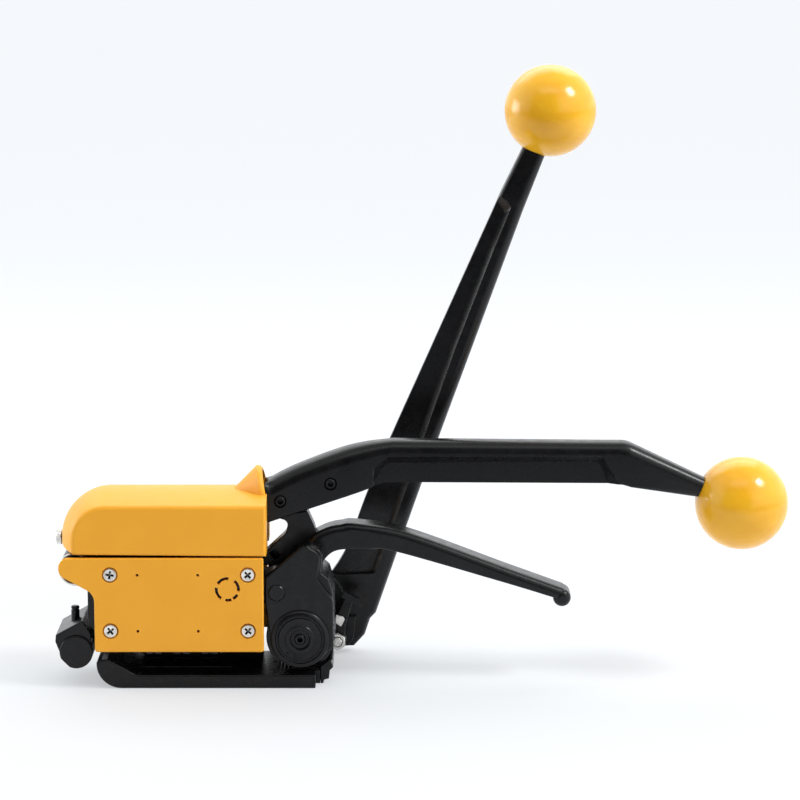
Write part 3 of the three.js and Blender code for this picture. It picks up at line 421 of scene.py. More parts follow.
def coated_metal(colour, rim_highlight_colour, rough, grain, depth, rim_highlight_strength):
    """Black finishes: a pitted skin whose corners carry a painted highlight, paler and partly metallic in broken
    patches.
    """
    look = Look()
    cloud = look.ramp(look.noise(14, 5), 0.35, 0.65)
    base = look.mix(cloud, tuple(0.7 * c for c in colour), tuple(1.35 * c for c in colour))
    # Paler, partly metallic patches on the corners: a painted highlight on the rims.
    edge = look.product(look.edge_mask(0.4), look.ramp(look.noise(2.4, 6), 0.38, 0.6))
    edge = look.product(edge, rim_highlight_strength)
    look.set("Base Color", look.mix(edge, base, rim_highlight_colour))
    look.set("Metallic", look.product(edge, 0.6))
    look.set("Roughness", look.ramp(look.noise(4, 5), 0.3, 0.7, rough - 0.05, rough + 0.07))
    look.set("Specular IOR Level", 0.3)
    look.bumps([(look.noise(grain, 4), depth), (look.noise(grain * 5, 2), depth * 1.5)])
    return look.material


def bare_metal(colour, dark, rough, stretch, scratch):
    """Turned, ground or plated metal: fine lines along one axis, stains, and painted shade that darkens its
    recesses.
    """
    look = Look()
    stain = look.ramp(look.noise(6, 5), 0.4, 0.68)
    lines = look.noise(1.2, 4, stretch)
    # Painted shade: ambient occlusion darkens recesses, such as the screws' crosses, to near black.
    shade = look.add("ShaderNodeAmbientOcclusion", {"only_local": True, "samples": 8}, Distance=2 * MM)
    depth = look.ramp(shade.outputs["AO"], 0.35, 0.8)
    look.set("Base Color", look.mix(depth, (0.004, 0.004, 0.005), look.mix(stain, colour, dark)))
    look.set("Metallic", 1.0)
    look.set("Roughness", look.ramp(lines, 0.3, 0.7, rough, rough + 0.16))
    look.bumps([(lines, scratch), (look.noise(2.5, 3), scratch * 2)])
    return look.material


LOOKS = {
    "amber_paint": painted(
        (0.92, 0.42, 0.03), deep=(0.89, 0.4, 0.026), pale=(0.98, 0.56, 0.12), rim_highlight_strength=0.5
    ),
    "amber_ball": moulded_ball((0.9, 0.47, 0.018), deep=(0.84, 0.41, 0.012), pale=(0.94, 0.56, 0.05)),
    "black_casting": coated_metal(
        (0.0032, 0.0032, 0.0036), rim_highlight_colour=(0.10, 0.10, 0.11), rough=0.29, grain=0.35, depth=0.006, rim_highlight_strength=0.35
    ),
    "black_steel": coated_metal(
        (0.003, 0.003, 0.0034), rim_highlight_colour=(0.14, 0.14, 0.15), rough=0.26, grain=0.3, depth=0.004, rim_highlight_strength=0.5
    ),
    "tool_steel": bare_metal(
        (0.07, 0.07, 0.075), dark=(0.03, 0.03, 0.034), rough=0.3, stretch=(1, 14, 1), scratch=0.004
    ),
    "bright_steel": bare_metal(
        (0.9, 0.89, 0.84), dark=(0.62, 0.6, 0.56), rough=0.2, stretch=(9, 1, 9), scratch=0.002
    ),
    "bronze": bare_metal(
        (0.30, 0.17, 0.06), dark=(0.16, 0.09, 0.03), rough=0.3, stretch=(1, 12, 1), scratch=0.004
    ),
}
for finish_name, finish in LOOKS.items():
    finish.name = finish_name
CORNER_ANGLE = math.radians(34)  # edges sharper than this count as corners


def dress(piece, name, node, edge):
    """Names a new piece, softens its sharp corners, and puts it in place of its CAD node."""
    piece.name = name
    piece.data.name = name
    piece.data.materials.clear()
    piece.data.materials.append(LOOKS[NODE_SLOT[node]])
    soften(piece, edge)
    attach(piece, NODE_BODY[node])
    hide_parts(node)


def soften(piece, edge):
    """Rounded corners, with normals that keep the large faces flat."""
    for polygon in piece.data.polygons:
        polygon.use_smooth = True
    piece.data.set_sharp_from_angle(angle=CORNER_ANGLE)
    if edge:
        bevel = piece.modifiers.new("corners", "BEVEL")
        bevel.width = edge * MM
        bevel.segments = 2
        bevel.limit_method = "ANGLE"
        bevel.angle_limit = CORNER_ANGLE
    normals = piece.modifiers.new("normals", "WEIGHTED_NORMAL")
    normals.keep_sharp = True


# ---- Painted covers and their screws ----

near_cover = Box("near_side_cover")
far_cover = Box("far_side_cover")
COVER_EDGE = 0.9
SCREW_GAP = 0.3
KNOCK_OUT = {"inner": 4.75, "outer": 6.25}
KNOCK_OUT_ARCS = ((84, 151), (170, 236), (259, 291), (300, 332), (350, 411))  # in degrees
RIVET_HOLE_GAPS = (13.6, 43.6)  # from the front screws back to the tiny holes


def screw_boxes(side):
    return [Box(f"{side}_cover_screw_{i}") for i in range(1, 5)]


def cover_side(cover):
    """Straight edges, with a rounded nose over the lever's pivot."""
    neck = cover.front + 17.6
    neck_top = cover.bottom + 29.4
    nose_bottom = cover.bottom + 39
    corners = [(cover.rear, cover.bottom, 1.2), (neck, cover.bottom, 1.5), (neck, neck_top, 7)]
    corners += [(cover.front, nose_bottom, 5), (cover.front, cover.top, 5), (cover.rear, cover.top, 1.1)]
    return outline(corners)


def screw_hole(box, face, direction):
    """A countersink for a screw whose head is at a face and which points inwards."""
    radius = box.radius + SCREW_GAP
    shank = 2.3
    profile = [(radius + 0.1, -1), (radius, 0.15), (radius - 0.1, 0.9), (shank, 2.45), (shank, 9)]
    hole = turned([(r, y * direction) for r, y in profile], 64)
    return place(hole, box.middle[0], face, box.middle[1])


def ring_arcs(centre, near, far):
    """The five cuts round a knock-out disc."""
    steps = 12
    arcs = []
    for start, end in KNOCK_OUT_ARCS:
        angles = [start + (end - start) * k / steps for k in range(steps + 1)]
        points = [polar(KNOCK_OUT["outer"], angle, centre) for angle in angles]
        points += [polar(KNOCK_OUT["inner"], angle, centre) for angle in reversed(angles)]
        arcs.append(slab(points, near, far))
    return arcs


def near_panel():
    """The panel in view: screw holes, four tiny rivet holes and a knock-out."""
    screws = screw_boxes("near")
    panel = slab(cover_side(near_cover), near_cover.near, near_cover.far, COVER_EDGE)
    tools = [screw_hole(box, near_cover.near, 1) for box in screws]
    before, behind = near_cover.near - 1, near_cover.far + 1
    for gap in RIVET_HOLE_GAPS:
        for box in (screws[0], screws[2]):
            x, z = box.middle
            tools.append(bar(0.75, before, behind, (x + gap, z - 0.1), 0, 24))
    x, z = screws[1].middle
    tools += ring_arcs((x - 10.1, z - 7.3), before, behind)
    return cut(panel, *tools)


def far_panel():
    panel = slab(cover_side(far_cover), far_cover.near, far_cover.far, COVER_EDGE)
    return cut(panel, *[screw_hole(box, far_cover.far, -1) for box in screw_boxes("far")])


def oblong(half_x, half_z):
    return [(-half_x, -half_z), (half_x, -half_z), (half_x, half_z), (-half_x, half_z)]


def cross_recess(depth):
    """Two tapered bars that meet in a cross."""
    tools = []
    for quarter_turn in (0, 90):
        arm = tapered(oblong(2.1, 0.55), oblong(1.3, 0.42), -0.2, depth)
        tools.append(place(arm, 0, 0, 0, turn_about("Y", quarter_turn)))
    return tools


def screw(radius, length, turn):
    """A countersunk screw with its head's face at the origin and its point towards +Y."""
    shank = 1.95
    profile = [(radius - 1.0, 0.0), (radius - 0.6, 0.12), (radius - 0.4, 0.4)]
    profile += [(radius - 0.5, 0.8), (shank, 2.2), (shank, length)]
    head = cut(turned(profile), *cross_recess(2.1))
    return place(head, 0, 0, 0, turn_about("Y", turn))


def build_covers():
    dress(near_panel(), "near_cover_panel", "near_side_cover", 0.12)
    dress(far_panel(), "far_cover_panel", "far_side_cover", 0.12)
    length = 6.4
    cross_turns = (8, 48, 52, 40)
    for side, face, half_turn in (("near", near_cover.near, 0), ("far", far_cover.far, 180)):
        flip = turn_about("Z", half_turn)
        for i, box in enumerate(screw_boxes(side)):
            piece = screw(box.radius, length, cross_turns[i])
            place(piece, box.middle[0], face, box.middle[1], flip)
            dress(piece, f"{side}_screw_{i + 1}", f"{side}_cover_screw_{i + 1}", 0)


# ---- Hood ----

hood_box = Box("hood")
HOOD_BULGE = 7.1
HOOD_CROWN = 4.4
HOOD_WALL = 2.5
HOOD_EDGE = 1.6
HOOD_TOP = 92.6
HOOD_ARC = (16.5, 23.5)  # radius of the front's top corner at the sides and in the middle
SCOOP = {"length": 20.4, "axis": 93.5, "half_width": 14, "height": 15}


def smoothstep(value, start, end):
    share = max(0.0, min(1.0, (value - start) / (end - start)))
    return share * share * (3 - 2 * share)


def hood_section(y, gap, drop):
    """The hood's side view at one place across it: fuller, rounder and taller in the middle."""
    middle = 1 - (y / hood_box.far) ** 2
    front = hood_box.front + HOOD_BULGE * (1 - middle) + gap
    top = HOOD_TOP + HOOD_CROWN * middle - gap
    arc = HOOD_ARC[0] + (HOOD_ARC[1] - HOOD_ARC[0]) * middle - gap
    rear = hood_box.rear - gap
    bottom = hood_box.bottom - drop
    chin = (front, bottom + 0.8, 2.4)
    return outline([(rear, bottom), chin, (front, top, arc), (rear, top)])


def hood_layer(gap, drop, edge):
    """The hood's outer form, or with a gap the space inside it."""
    half = hood_box.far - gap
    inner = half - edge
    steps = 28
    sections = [(-half + depth, inward) for inward, depth in quarter(edge)]
    sections += [(-inner + 2 * inner * k / steps, 0) for k in range(1, steps)]
    sections += [(half - depth, inward) for inward, depth in reversed(quarter(edge))]
    return skin([layer(inset(hood_section(y, gap, drop), inward), y) for y, inward in sections])


def scoop_cone(gap):
    """A cone along X, half buried in the hood's top; its rounded mouth leans away from the lever."""
    rear = hood_box.rear - 0.6
    tip = hood_box.rear - SCOOP["length"] + 2 * gap
    lip = [(rear - 2.4, 1.0), (rear - 1.3, 1.0), (rear - 0.4, 0.965), (rear, 0.91)]
    if gap:
        lip = [(rear - 1.8, 1.0), (rear + 5, 1.1)]
    lean, lean_from = 0.2, 96
    rings = []
    for x, share in [(tip + 0.3, 0.02), (tip + 6, 0.38)] + lip:
        half, height = (SCOOP["half_width"] - gap) * share, (SCOOP["height"] - gap) * share
        ring = []
        for across, up in circle(1):
            z = SCOOP["axis"] + height * up
            ring.append((x - lean * share * max(0, z - lean_from), half * across, z))
        rings.append(ring)
    return skin(rings)


def build_hood():
    """A hollow shell, open below, with a slot for the lever and a hole for the bolt."""
    outer = unite(hood_layer(0, 0, HOOD_EDGE), scoop_cone(0))
    slot_front = hood_box.rear - HOOD_WALL - 0.1
    slot_rear = -10
    corners = [(slot_front, 40), (slot_front, 100), (-16, 101.7), (slot_rear, 101.7), (slot_rear, 40)]
    slot = slab(outline(corners), sealing.near - 0.6, sealing.far + 0.6)
    bolt = Box("hood_bolt")
    hole = place(bar(2.3, -8, 8), bolt.front + 4, 0, bolt.middle[1], turn_about("Z", 90))
    shell = cut(outer, hood_layer(HOOD_WALL, 20, 0), scoop_cone(HOOD_WALL), slot, hole)
    dress(shell, "hood_shell", "hood", 0.35)


# ---- Sealing lever ----

sealing = Box("sealing_lever")
sealing_ball = Box("sealing_knob")
SEALING_ANGLE = 158  # from the knob's middle back to the lever
TENSION_ANGLE = 248
KNOB_FLAT = 22.2  # from the ball's middle to the flat where the lever enters
STUD_BORE = 4.3


def ball_middle(box):
    return box.rear - box.half_width, box.top - box.half_width


def sealing_body():
    """A wide fork at the front, a narrower level bar, and a bend down to the knob."""
    fork, half_bar = sealing.far, 8.0
    low_radius, high_radius = 1.0, 6
    bottom, top, arch_end = 100.5, 122, 46
    arch = [(sealing.front, 100.4), (-3.7, 108.2), (18.8, 116.9), (32.3, 120.3), (arch_end, top)]
    stations = []
    for x, z in spline(arch, 32):
        low = min(bottom, 80.4 + (x - sealing.front) * 0.3366)
        half = fork + (half_bar - fork) * smoothstep(x, 22, 48)
        front = smoothstep(x, sealing.front - 0.1, sealing.front + 4)
        stations.append(((x, low), (x, z), half, low_radius, 1.2 + (half - 3.2) * front))
    for x in (60, 80, 100, 120, 140, 152):
        along = x - arch_end
        low, high = (x, bottom - along * 0.005), (x, top - along * 0.009)
        stations.append((low, high, half_bar, low_radius, high_radius))
    neck = polar(KNOB_FLAT + 0.2, SEALING_ANGLE, ball_middle(sealing_ball))
    end_high, end_low = (Vector(polar(reach, SEALING_ANGLE - 90, neck)) for reach in (5, -5))
    bend_high = outline([(150, 121.1), (162.8, 121, 12), tuple(end_high)])[1:-1]
    bend_low = spline([(156, 100), (160.5, 99.9), (165, 98.6)], len(bend_high) - 1)
    for low, high in zip(bend_low, bend_high):
        stations.append((low, high, half_bar, low_radius, high_radius))
    low, high = Vector(bend_low[-1]), Vector(bend_high[-1])
    for share in (0.35, 0.7, 1.0):
        ends = (low.lerp(end_low, share), high.lerp(end_high, share))
        slimmer = 1.6 * share
        stations.append((*ends, half_bar - slimmer, low_radius + 2.6 * share, high_radius - slimmer))
    return beam(stations)


def sealing_pocket(side):
    """A recess with sloping walls, open along the bar's lower edge."""
    face = [(23.6, 92), (24.8, 98.4, 3), (43.4, 115.0, 5), (151, 115.3, 4), (162, 98), (162.2, 92)]
    floor = [(33, 92), (35, 98.4, 3), (43.4, 110.2, 4), (148.6, 110.8, 3), (154.6, 98), (155, 92)]
    outside, web = 8.8, 3.2
    return tapered(face, floor, side * outside, side * web)


def stud_hole(box, angle, y):
    """A cutter along a lever's end for the stud of the knob there."""
    x, z = polar(KNOB_FLAT, angle, ball_middle(box))
    aim = turn_about("Y", -angle) @ turn_about("Z", 90)
    return place(bar(STUD_BORE, -12, 12), x, y, z, aim)


def build_sealing_lever():
    """The lever with a channel under its fork, pin holes, a stud hole and a recess on each side."""
    channel_side = outline([(-24, 60), (-24, 91), (-3.7, 101), (18.8, 109.6), (26, 111), (27, 60)])
    half_channel = 6.4
    tools = [slab(channel_side, -half_channel, half_channel)]
    for number in (1, 2):
        pin = Box(f"lever_pin_{number}")
        tools.append(bar(2.1, -20, 20, pin.middle, 0, 48))
        tools.append(bar(pin.radius + 0.25, -20, pin.near + 1.2, pin.middle, 0, 64))
    tools.append(stud_hole(sealing_ball, SEALING_ANGLE, Box("sealing_knob_stud").middle_y))
    body = cut(sealing_body(), *tools)
    for side in (-1, 1):
        body = cut(body, sealing_pocket(side))
    dress(body, "sealing_handle", "sealing_lever", 0.5)


def build_lever_pins():
    """Cross pins with a hexagon socket in a chamfered head."""
    head, shank = 3.1, 1.8
    for number in (1, 2):
        box = Box(f"lever_pin_{number}")
        profile = [(head - 1, box.near), (head, box.near + 0.8), (head, box.near + 1)]
        profile += [(shank, box.near + 1.01), (shank, box.far - 0.4), (shank - 0.4, box.far)]
        pin = place(turned(profile, 64), box.middle[0], 0, box.middle[1])
        socket = bar(1.7, box.near - 1, box.near + 3.5, box.middle, 0, 6)
        dress(cut(pin, socket), f"lever_rivet_{number}", f"lever_pin_{number}", 0.08)


# ---- Ball knobs ----


def ball(radius, flat):
    """A ball about the origin with its flat towards +Y and a fine parting line round it."""
    line_depth, line_latitude, line_width = 0.1, 4, 0.9
    last = math.degrees(math.asin(flat / radius))
    steps = 72
    profile = []
    for k in range(1, steps + 1):
        latitude = -90 + (last + 90) * k / steps
        groove = line_depth * math.exp(-((latitude - line_latitude) / line_width) ** 2)
        profile.append(polar(radius - groove, latitude))
    return turned(profile, 144)


def build_knob(node, angle, name):
    box = Box(node)
    x, z = ball_middle(box)
    aim = turn_about("Y", -angle) @ turn_about("Z", -90)
    hole = bar(STUD_BORE, KNOB_FLAT - 12, KNOB_FLAT + 2)
    piece = cut(ball(box.half_width, KNOB_FLAT), hole)
    dress(place(piece, x, box.middle_y, z, aim), name, node, 0.3)


# ---- Rocker with its release handle ----

rocker = Box("rocker_casting")
CHEEK = (rocker.near, rocker.near + 4.8)
FAR_CHEEK = (rocker.far - 8, rocker.far)
BOSS_RADIUS = 14.8
BUSHING_BORE = 7.5
HANDLE_HALF_WIDTH = 9


def cheek_side():
    """A plate from the pivot round the wheel's boss, with a shoulder behind."""
    corners = [(-17.2, 56.3, 1.2), (2.2, 72.9, 4), (10.4, 67.8, 5), (8.6, 55.5, 5), (16.5, 44.6, 4)]
    corners += [(16.6, 21.5, 2), (9.6, 13.9), (-14.7, 25.2), (-17.2, 43, 3)]
    return outline(corners)


def bridge_side():
    """The casting between the cheeks shows behind the near one as a stepped, rounded edge."""
    corners = [(-2, 42), (-2, 66), (4, 71.5, 3), (11.5, 69.6, 4), (10.4, 58.4, 2), (14, 55.2, 2)]
    return outline(corners + [(16.2, 48, 3), (16.4, 32)])


def release_handle():
    """A curved strip with rounded top edges that ends in a roll."""
    upper = [(1.5, 67), (5.7, 73.9), (13, 78), (20, 79.6), (28, 80.1)]
    upper += [(54, 75.5), (103, 57.4), (132, 46.8)]
    lower = [(9, 56), (12, 62), (17, 66.2), (25, 67.4), (35, 67.3)]
    lower += [(48, 65.9), (101, 50.4), (128, 42)]
    divisions = 63
    edges = zip(spline(lower, divisions), spline(upper, divisions))
    return beam([(low, high, HANDLE_HALF_WIDTH, 1.2, 3.8) for low, high in edges])


def horn_side():
    """The finger that stands up from the cheeks, hooked forwards at its tip."""
    corners = [(9.2, 60), (9.4, 68, 3), (7.0, 78.0, 6), (3.4, 86.2, 1.2), (-11.2, 84, 0.7)]
    corners += [(-11.2, 82.4, 0.7), (-6, 80.8, 3), (-7.4, 75, 5), (-22, 61.2, 0.8), (-20.8, 58.4, 0.8)]
    return outline(corners + [(-4, 58.4), (2, 50)])


def build_rocker():
    """Two cheeks with a bridge, the horn and the release handle, hollowed for the wheel and lug."""
    proud = 0.01
    roll_radius = 4.5
    body = unite(
        slab(cheek_side(), *CHEEK, 0.8),
        bar(BOSS_RADIUS, CHEEK[0] - proud, CHEEK[1] + proud, WHEEL_AXIS, 0.6),
        slab(cheek_side(), *FAR_CHEEK, 0.8),
        bar(BOSS_RADIUS, FAR_CHEEK[0] - proud, FAR_CHEEK[1] + proud, WHEEL_AXIS, 0.6),
        slab(bridge_side(), CHEEK[1] - 2.6, FAR_CHEEK[0] + 1, 1.2),
        slab(horn_side(), -5, 5, 0.6),
        release_handle(),
        bar(roll_radius, -HANDLE_HALF_WIDTH, HANDLE_HALF_WIDTH, (rocker.rear - 4.6, 42.0), 3.4),
    )
    square_hole = place(block((-2.2, -15, -2.5), (2.2, 2, 2.5)), -13, 0, 64, turn_about("Y", -40))
    lug_gap, wheel_gap = 8.2, 18.2
    rocker_pin, hold_pawl_pin = 4.3, 2.3
    body = cut(
        body,
        bar(wheel_gap, CHEEK[1], FAR_CHEEK[0], WHEEL_AXIS),
        bar(lug_gap, CHEEK[1], FAR_CHEEK[0], ROCKER_AXIS),
        bar(rocker_pin, -30, 30, ROCKER_AXIS),
        bar(BUSHING_BORE, -30, 30, WHEEL_AXIS),
        bar(hold_pawl_pin, 16, 30, HOLD_PAWL_AXIS, 0, 48),
        square_hole,
    )
    rim = cut(
        bar(BOSS_RADIUS + 2.2, CHEEK[1] - 0.6, CHEEK[1] + 3, WHEEL_AXIS, 0.4),
        block((-30, -30, 0), (30, 0, 13)),
        bar(BUSHING_BORE, -30, 30, WHEEL_AXIS),
    )
    dress(unite(body, rim), "rocker_body", "rocker_casting", 0.35)


def build_bearing_cap():
    """A stepped disc: outer flange, groove, raised ring round a dished middle."""
    cap = Box("bearing_cap")
    radius = cap.radius
    face = cap.near + 0.8
    groove = face + 0.7
    middle = [(4.5, face + 0.9)]
    ring = [(5.1, cap.near + 0.2), (5.5, cap.near), (6.6, cap.near), (7.2, cap.near + 0.4)]
    step = [(7.5, face + 0.2), (10.6, face), (11.1, groove), (11.9, groove), (12.4, face)]
    flange = [(13.2, face + 0.1), (radius - 0.3, groove), (radius, face + 1.2), (radius, cap.far)]
    x, z = WHEEL_AXIS
    disc = place(turned(middle + ring + step + flange, 128), x, 0, z)
    shaft_hole = bar(2.9, -30, -20, WHEEL_AXIS, 0, 64)
    dents = [
        bar(1.0, -30, face + 1.1, (x - 6.4, z - 6.3), 0, 32),
        block((x - 2.8, -30, z - 9.9), (x - 1.2, groove, z - 7.9)),
        block((x - 0.2, -30, z - 9.7), (x + 1.8, groove, z - 8.6)),
    ]
    dress(cut(disc, shaft_hole, *dents), "cap_disc", "bearing_cap", 0.12)


# ---- Tension lever, ratchet side ----

tension = Box("tension_lever")
tension_ball = Box("tension_knob")
HUB_DISC_RADIUS = WHEEL_AXIS[1] - tension.bottom
TENSION_FACE = tension.near + 10  # the bar's near face; the hub's sleeve stands proud of it
TENSION_MIDDLE = (TENSION_FACE + tension.far) / 2
SHAFT_BORE = 5.3
PAWL_BORE = 2.8


def tension_body():
    """A leaning bar with a well rounded rear edge; its foot fans round the hub."""
    end = polar(KNOB_FLAT + 0.2, TENSION_ANGLE, ball_middle(tension_ball))
    front, rear = (polar(reach, TENSION_ANGLE + 90, end) for reach in (-6, 6))
    half = (tension.far - TENSION_FACE) / 2
    front_radius, rear_radius = 2.2, 5
    stations = [(front, rear, half - 0.6, 2.5, 4)]
    front_edge = spline([(58.1, 143.3), (44.8, 113.3), (31.8, 82), (21, 53), (8, 34)], 16)
    rear_edge = spline([(81.2, 144.8), (70, 114), (60.4, 87.4), (47, 49), (37.2, 20.6)], 16)
    for low, high in zip([(101.3, 240.7)] + front_edge, [(112.4, 230.8)] + rear_edge):
        stations.append((low, high, half, front_radius, rear_radius))
    foot_radius, foot_middle, first_angle = 36, (-1, 25), -12
    for low, angle in (((6, 30), -12), ((5, 28), -26), ((4, 26), -42), ((3, 24), -58), ((2, 23), -75)):
        x, z = polar(foot_radius, angle, foot_middle)
        high = (min(x, 36), max(z, tension.bottom + 0.1))
        share = (angle - first_angle) / -63
        stations.append((low, high, half, front_radius, 4.6 - share * 3.6))
    return beam(stations, TENSION_MIDDLE)


def tension_pocket(side):
    """A recess open along the front edge, with sloping walls."""
    open_side = [(94, 243), (55, 190)]
    face = [(8, 41), (37.4, 42, 3), (51.4, 81.4), (67.3, 128.3), (78.1, 159.5), (98, 211.5)]
    face += [(107, 234, 2), *open_side]
    floor = [(8, 41.4), (34.6, 42.4, 3), (48.4, 81.4), (64.3, 128.3), (75.2, 159.5), (95, 211.5)]
    floor += [(103, 230, 2), *open_side]
    outside, web = (TENSION_MIDDLE + side * half for half in (6.6, 2.2))
    return tapered(face, floor, outside, web)


def build_tension_lever():
    """The lever joined to its hub and sleeve, with bores, a stud hole and a recess on each side."""
    sleeve_radius, foot_bottom, foot_top = 11, tension.bottom + 1, 20
    foot = outline([(4, foot_bottom), (25, foot_bottom, 6), (27, foot_top), (4, foot_top)])
    body = unite(
        tension_body(),
        bar(HUB_DISC_RADIUS, TENSION_FACE - 3, tension.far - 0.4, WHEEL_AXIS, 1.0),
        bar(sleeve_radius, tension.near, TENSION_FACE, WHEEL_AXIS, 0.6),
        slab(foot, TENSION_FACE - 3, TENSION_FACE + 3, 0.6),
    )
    body = cut(
        body,
        bar(SHAFT_BORE, tension.near - 5, tension.far + 5, WHEEL_AXIS),
        bar(PAWL_BORE, tension.near, TENSION_FACE + 3, DRIVE_PAWL_AXIS, 0, 48),
        stud_hole(tension_ball, TENSION_ANGLE, TENSION_MIDDLE),
    )
    for side in (-1, 1):
        body = cut(body, tension_pocket(side))
    dress(body, "tension_handle", "tension_lever", 0.35)


def build_drive_pawl():
    """A pawl whose tail ends in a cross bar for the thumb."""
    box = Box("drive_pawl")
    x, z = DRIVE_PAWL_AXIS
    tail_x, tail_z = 24, 33.3
    tooth = polar(14.8, -14, WHEEL_AXIS)
    rear = [(x - 3.4, z + 2), (x + 3.6, z), (x + 4.2, z + 8, 3), (tail_x + 1.6, tail_z - 1.4)]
    front = [(tail_x - 2.2, tail_z + 0.6), (x - 0.6, z + 12.6, 3), tooth]
    cross_bar = block((-4.2, box.near + 0.01, -1.6), (4.2, box.far - 0.01, 1.6))
    body = unite(
        slab(outline(rear + front), box.near, box.far, 0.5),
        bar(4.6, box.near, box.far, DRIVE_PAWL_AXIS, 0.5, 64),
        place(cross_bar, tail_x, 0, tail_z, turn_about("Y", 29)),
    )
    body = cut(body, bar(PAWL_BORE, box.near - 1, box.far + 1, DRIVE_PAWL_AXIS, 0, 48))
    dress(body, "feed_pawl", "drive_pawl", 0.3)


def build_pawl_spring():
    """A bent strip of bright spring steel on the pawl's near face."""
    box = Box("pawl_spring_tab")
    corners = [(16.4, 20.6, 0.6), (19.4, 18.6, 0.6), (21.4, 22.6, 1.2)]
    corners += [(20.2, 24.2, 0.8), (16.6, 24.8, 0.6)]
    dress(slab(outline(corners), box.near, box.far, 0.3), "spring_tab", "pawl_spring_tab", 0)


def hexagon_nut(node, name, bore):
    """A hexagon nut across the tool, with both its faces chamfered to a circle."""
    box = Box(node)
    half = box.half_width
    hexagon = slab([polar(box.radius, 60 * k + 30, box.middle) for k in range(6)], box.near, box.far)
    flat = box.radius * math.cos(math.radians(30)) - 0.1
    widest = box.radius + 0.3
    slope = 0.8
    profile = [(flat, -half), (widest, -half + slope), (widest, half - slope), (flat, half)]
    chamfer = place(turned(profile), box.middle[0], box.middle_y, box.middle[1])
    nut = combine(hexagon, [chamfer], "INTERSECT")
    dress(cut(nut, bar(bore, box.near - 1, box.far + 1, box.middle, 0, 64)), name, node, 0.12)


def build_ratchet():
    """Twelve hooked teeth with sloping backs."""
    box = Box("ratchet_wheel")
    teeth, tip, root = 12, 14, 11.6
    tooth = ((root, 0), (tip, 1.2), (tip, 9), (root + 0.9, 18), (root + 0.2, 25))
    points = []
    for i in range(teeth):
        start = 360 / teeth * i
        points += [polar(radius, start + degrees, WHEEL_AXIS) for radius, degrees in tooth]
    wheel = slab(points, box.near, box.far)
    bore = bar(SHAFT_BORE, box.near - 1, box.far + 1, WHEEL_AXIS)
    dress(cut(wheel, bore), "ratchet_disc", "ratchet_wheel", 0.25)


# ---- Base plate, guide and strap gate ----


def build_base():
    """A plate with an upturned front, a tongue at the rear and a seat for the gripper."""
    box = Box("base_plate")
    seat = Box("gripper_plate")
    top = seat.top - 0.2
    rear = box.rear - 2
    toe = [(box.front, 0, 12.4), (box.front, 13.6, 1.6), (-99, 14.6, 1), (-95.7, 14.9, 1.6)]
    side = outline([(rear, 0, 0.5), *toe, (-81.6, top, 6), (rear, top, 0.5)])
    tongue_front = box.rear - 3
    tongue = outline([(tongue_front, 0), (box.rear, 0), (box.rear, top), (tongue_front, top)])
    body = unite(slab(side, box.near, box.far, 0.9), slab(tongue, -15, 15, 0.3))
    gap = 0.3
    low = (seat.front - gap, seat.near - gap, seat.bottom)
    high = (seat.rear + gap, seat.far + gap, seat.top + 1)
    head, shank = 4.15, 2.2
    profile = [(head, -1), (head - 0.1, 0.15), (shank, 2.4), (shank, 15)]
    holes = []
    for number in (1, 2):
        screw_box = Box(f"base_screw_{number}")
        hole = turned(profile, 64)
        holes.append(place(hole, screw_box.middle[0], screw_box.middle_y, 0, turn_about("X", 90)))
    dress(cut(body, block(low, high), *holes), "skid_plate", "base_plate", 0.3)


def build_base_screws():
    head, cross_turn = 3.75, 20
    for number in (1, 2):
        box = Box(f"base_screw_{number}")
        piece = screw(head, box.top - box.bottom, cross_turn)
        place(piece, box.middle[0], box.middle_y, 0, turn_about("X", 90))
        dress(piece, f"base_screw_{number}_turned", f"base_screw_{number}", 0)


def build_guide():
    """The block behind the wheel, hollowed to it in front and stepped behind."""
    box = Box("rear_strap_guide")
    radius = 19.2
    hollow = [polar(radius, degrees, WHEEL_AXIS) for degrees in range(-58, -37, 2)]
    steps = [(16.6, 13.4, 0.5), (15.1, 11.4, 0.5), (16.3, 8.4, 0.5), (14.5, 6.6, 0.4)]
    steps += [(14.1, 2.4, 0.5), (11.6, 1.8, 0.4), (11.2, 0)]
    side = outline([(9.8, 0), (9.8, 8.6)] + hollow + steps)
    dress(slab(side, box.near, box.far), "strap_guide_block", "rear_strap_guide", 0.35)


def build_gate():
    """A block with a sloping top on a round hub, with a finger pin standing in it."""
    box = Box("strap_gate")
    finger = Box("gate_finger_pin")
    hub_radius, hub_far = 8.3, 10.4
    top = [(-122, 26.1, 0.7), (-108.7, 33.5, 0.7), (-104.4, 26.5, 1.2)]
    side = outline(top + [(-104.6, 18), (-120.1, 17), (-122.3, 22.6, 1.5)])
    near = box.near + 1.8
    far_notch = block((-130, hub_far, 0), (-100, box.far + 1, 23.6))
    head = cut(slab(side, near, box.far, 0.5), far_notch)
    flat = outline([(-126, 2), (-114, 2), (-114, 9), (-120.4, 15.4), (-126, 15.4)])
    hub = cut(bar(hub_radius, box.near, hub_far, GATE_AXIS, 0.7), slab(flat, -30, 30))
    body = unite(head, hub)
    socket = bar(2.25, -10, 10, sides=48)
    place(socket, finger.middle[0], finger.middle_y, 37, turn_about("X", 90))
    body = cut(body, bar(3.3, near + 0.1, 20, GATE_AXIS, 0, 64), socket)
    dress(body, "gate_block", "strap_gate", 0.35)


# ---- Round pins, shafts and springs ----


def round_pin(node, name):
    """A plain pin across the tool with chamfered ends."""
    box = Box(node)
    radius, chamfer = box.radius, 0.4
    profile = [(radius - chamfer, box.near), (radius, box.near + chamfer)]
    profile += [(radius, box.far - chamfer), (radius - chamfer, box.far)]
    dress(place(turned(profile), box.middle[0], 0, box.middle[1]), name, node, 0.06)


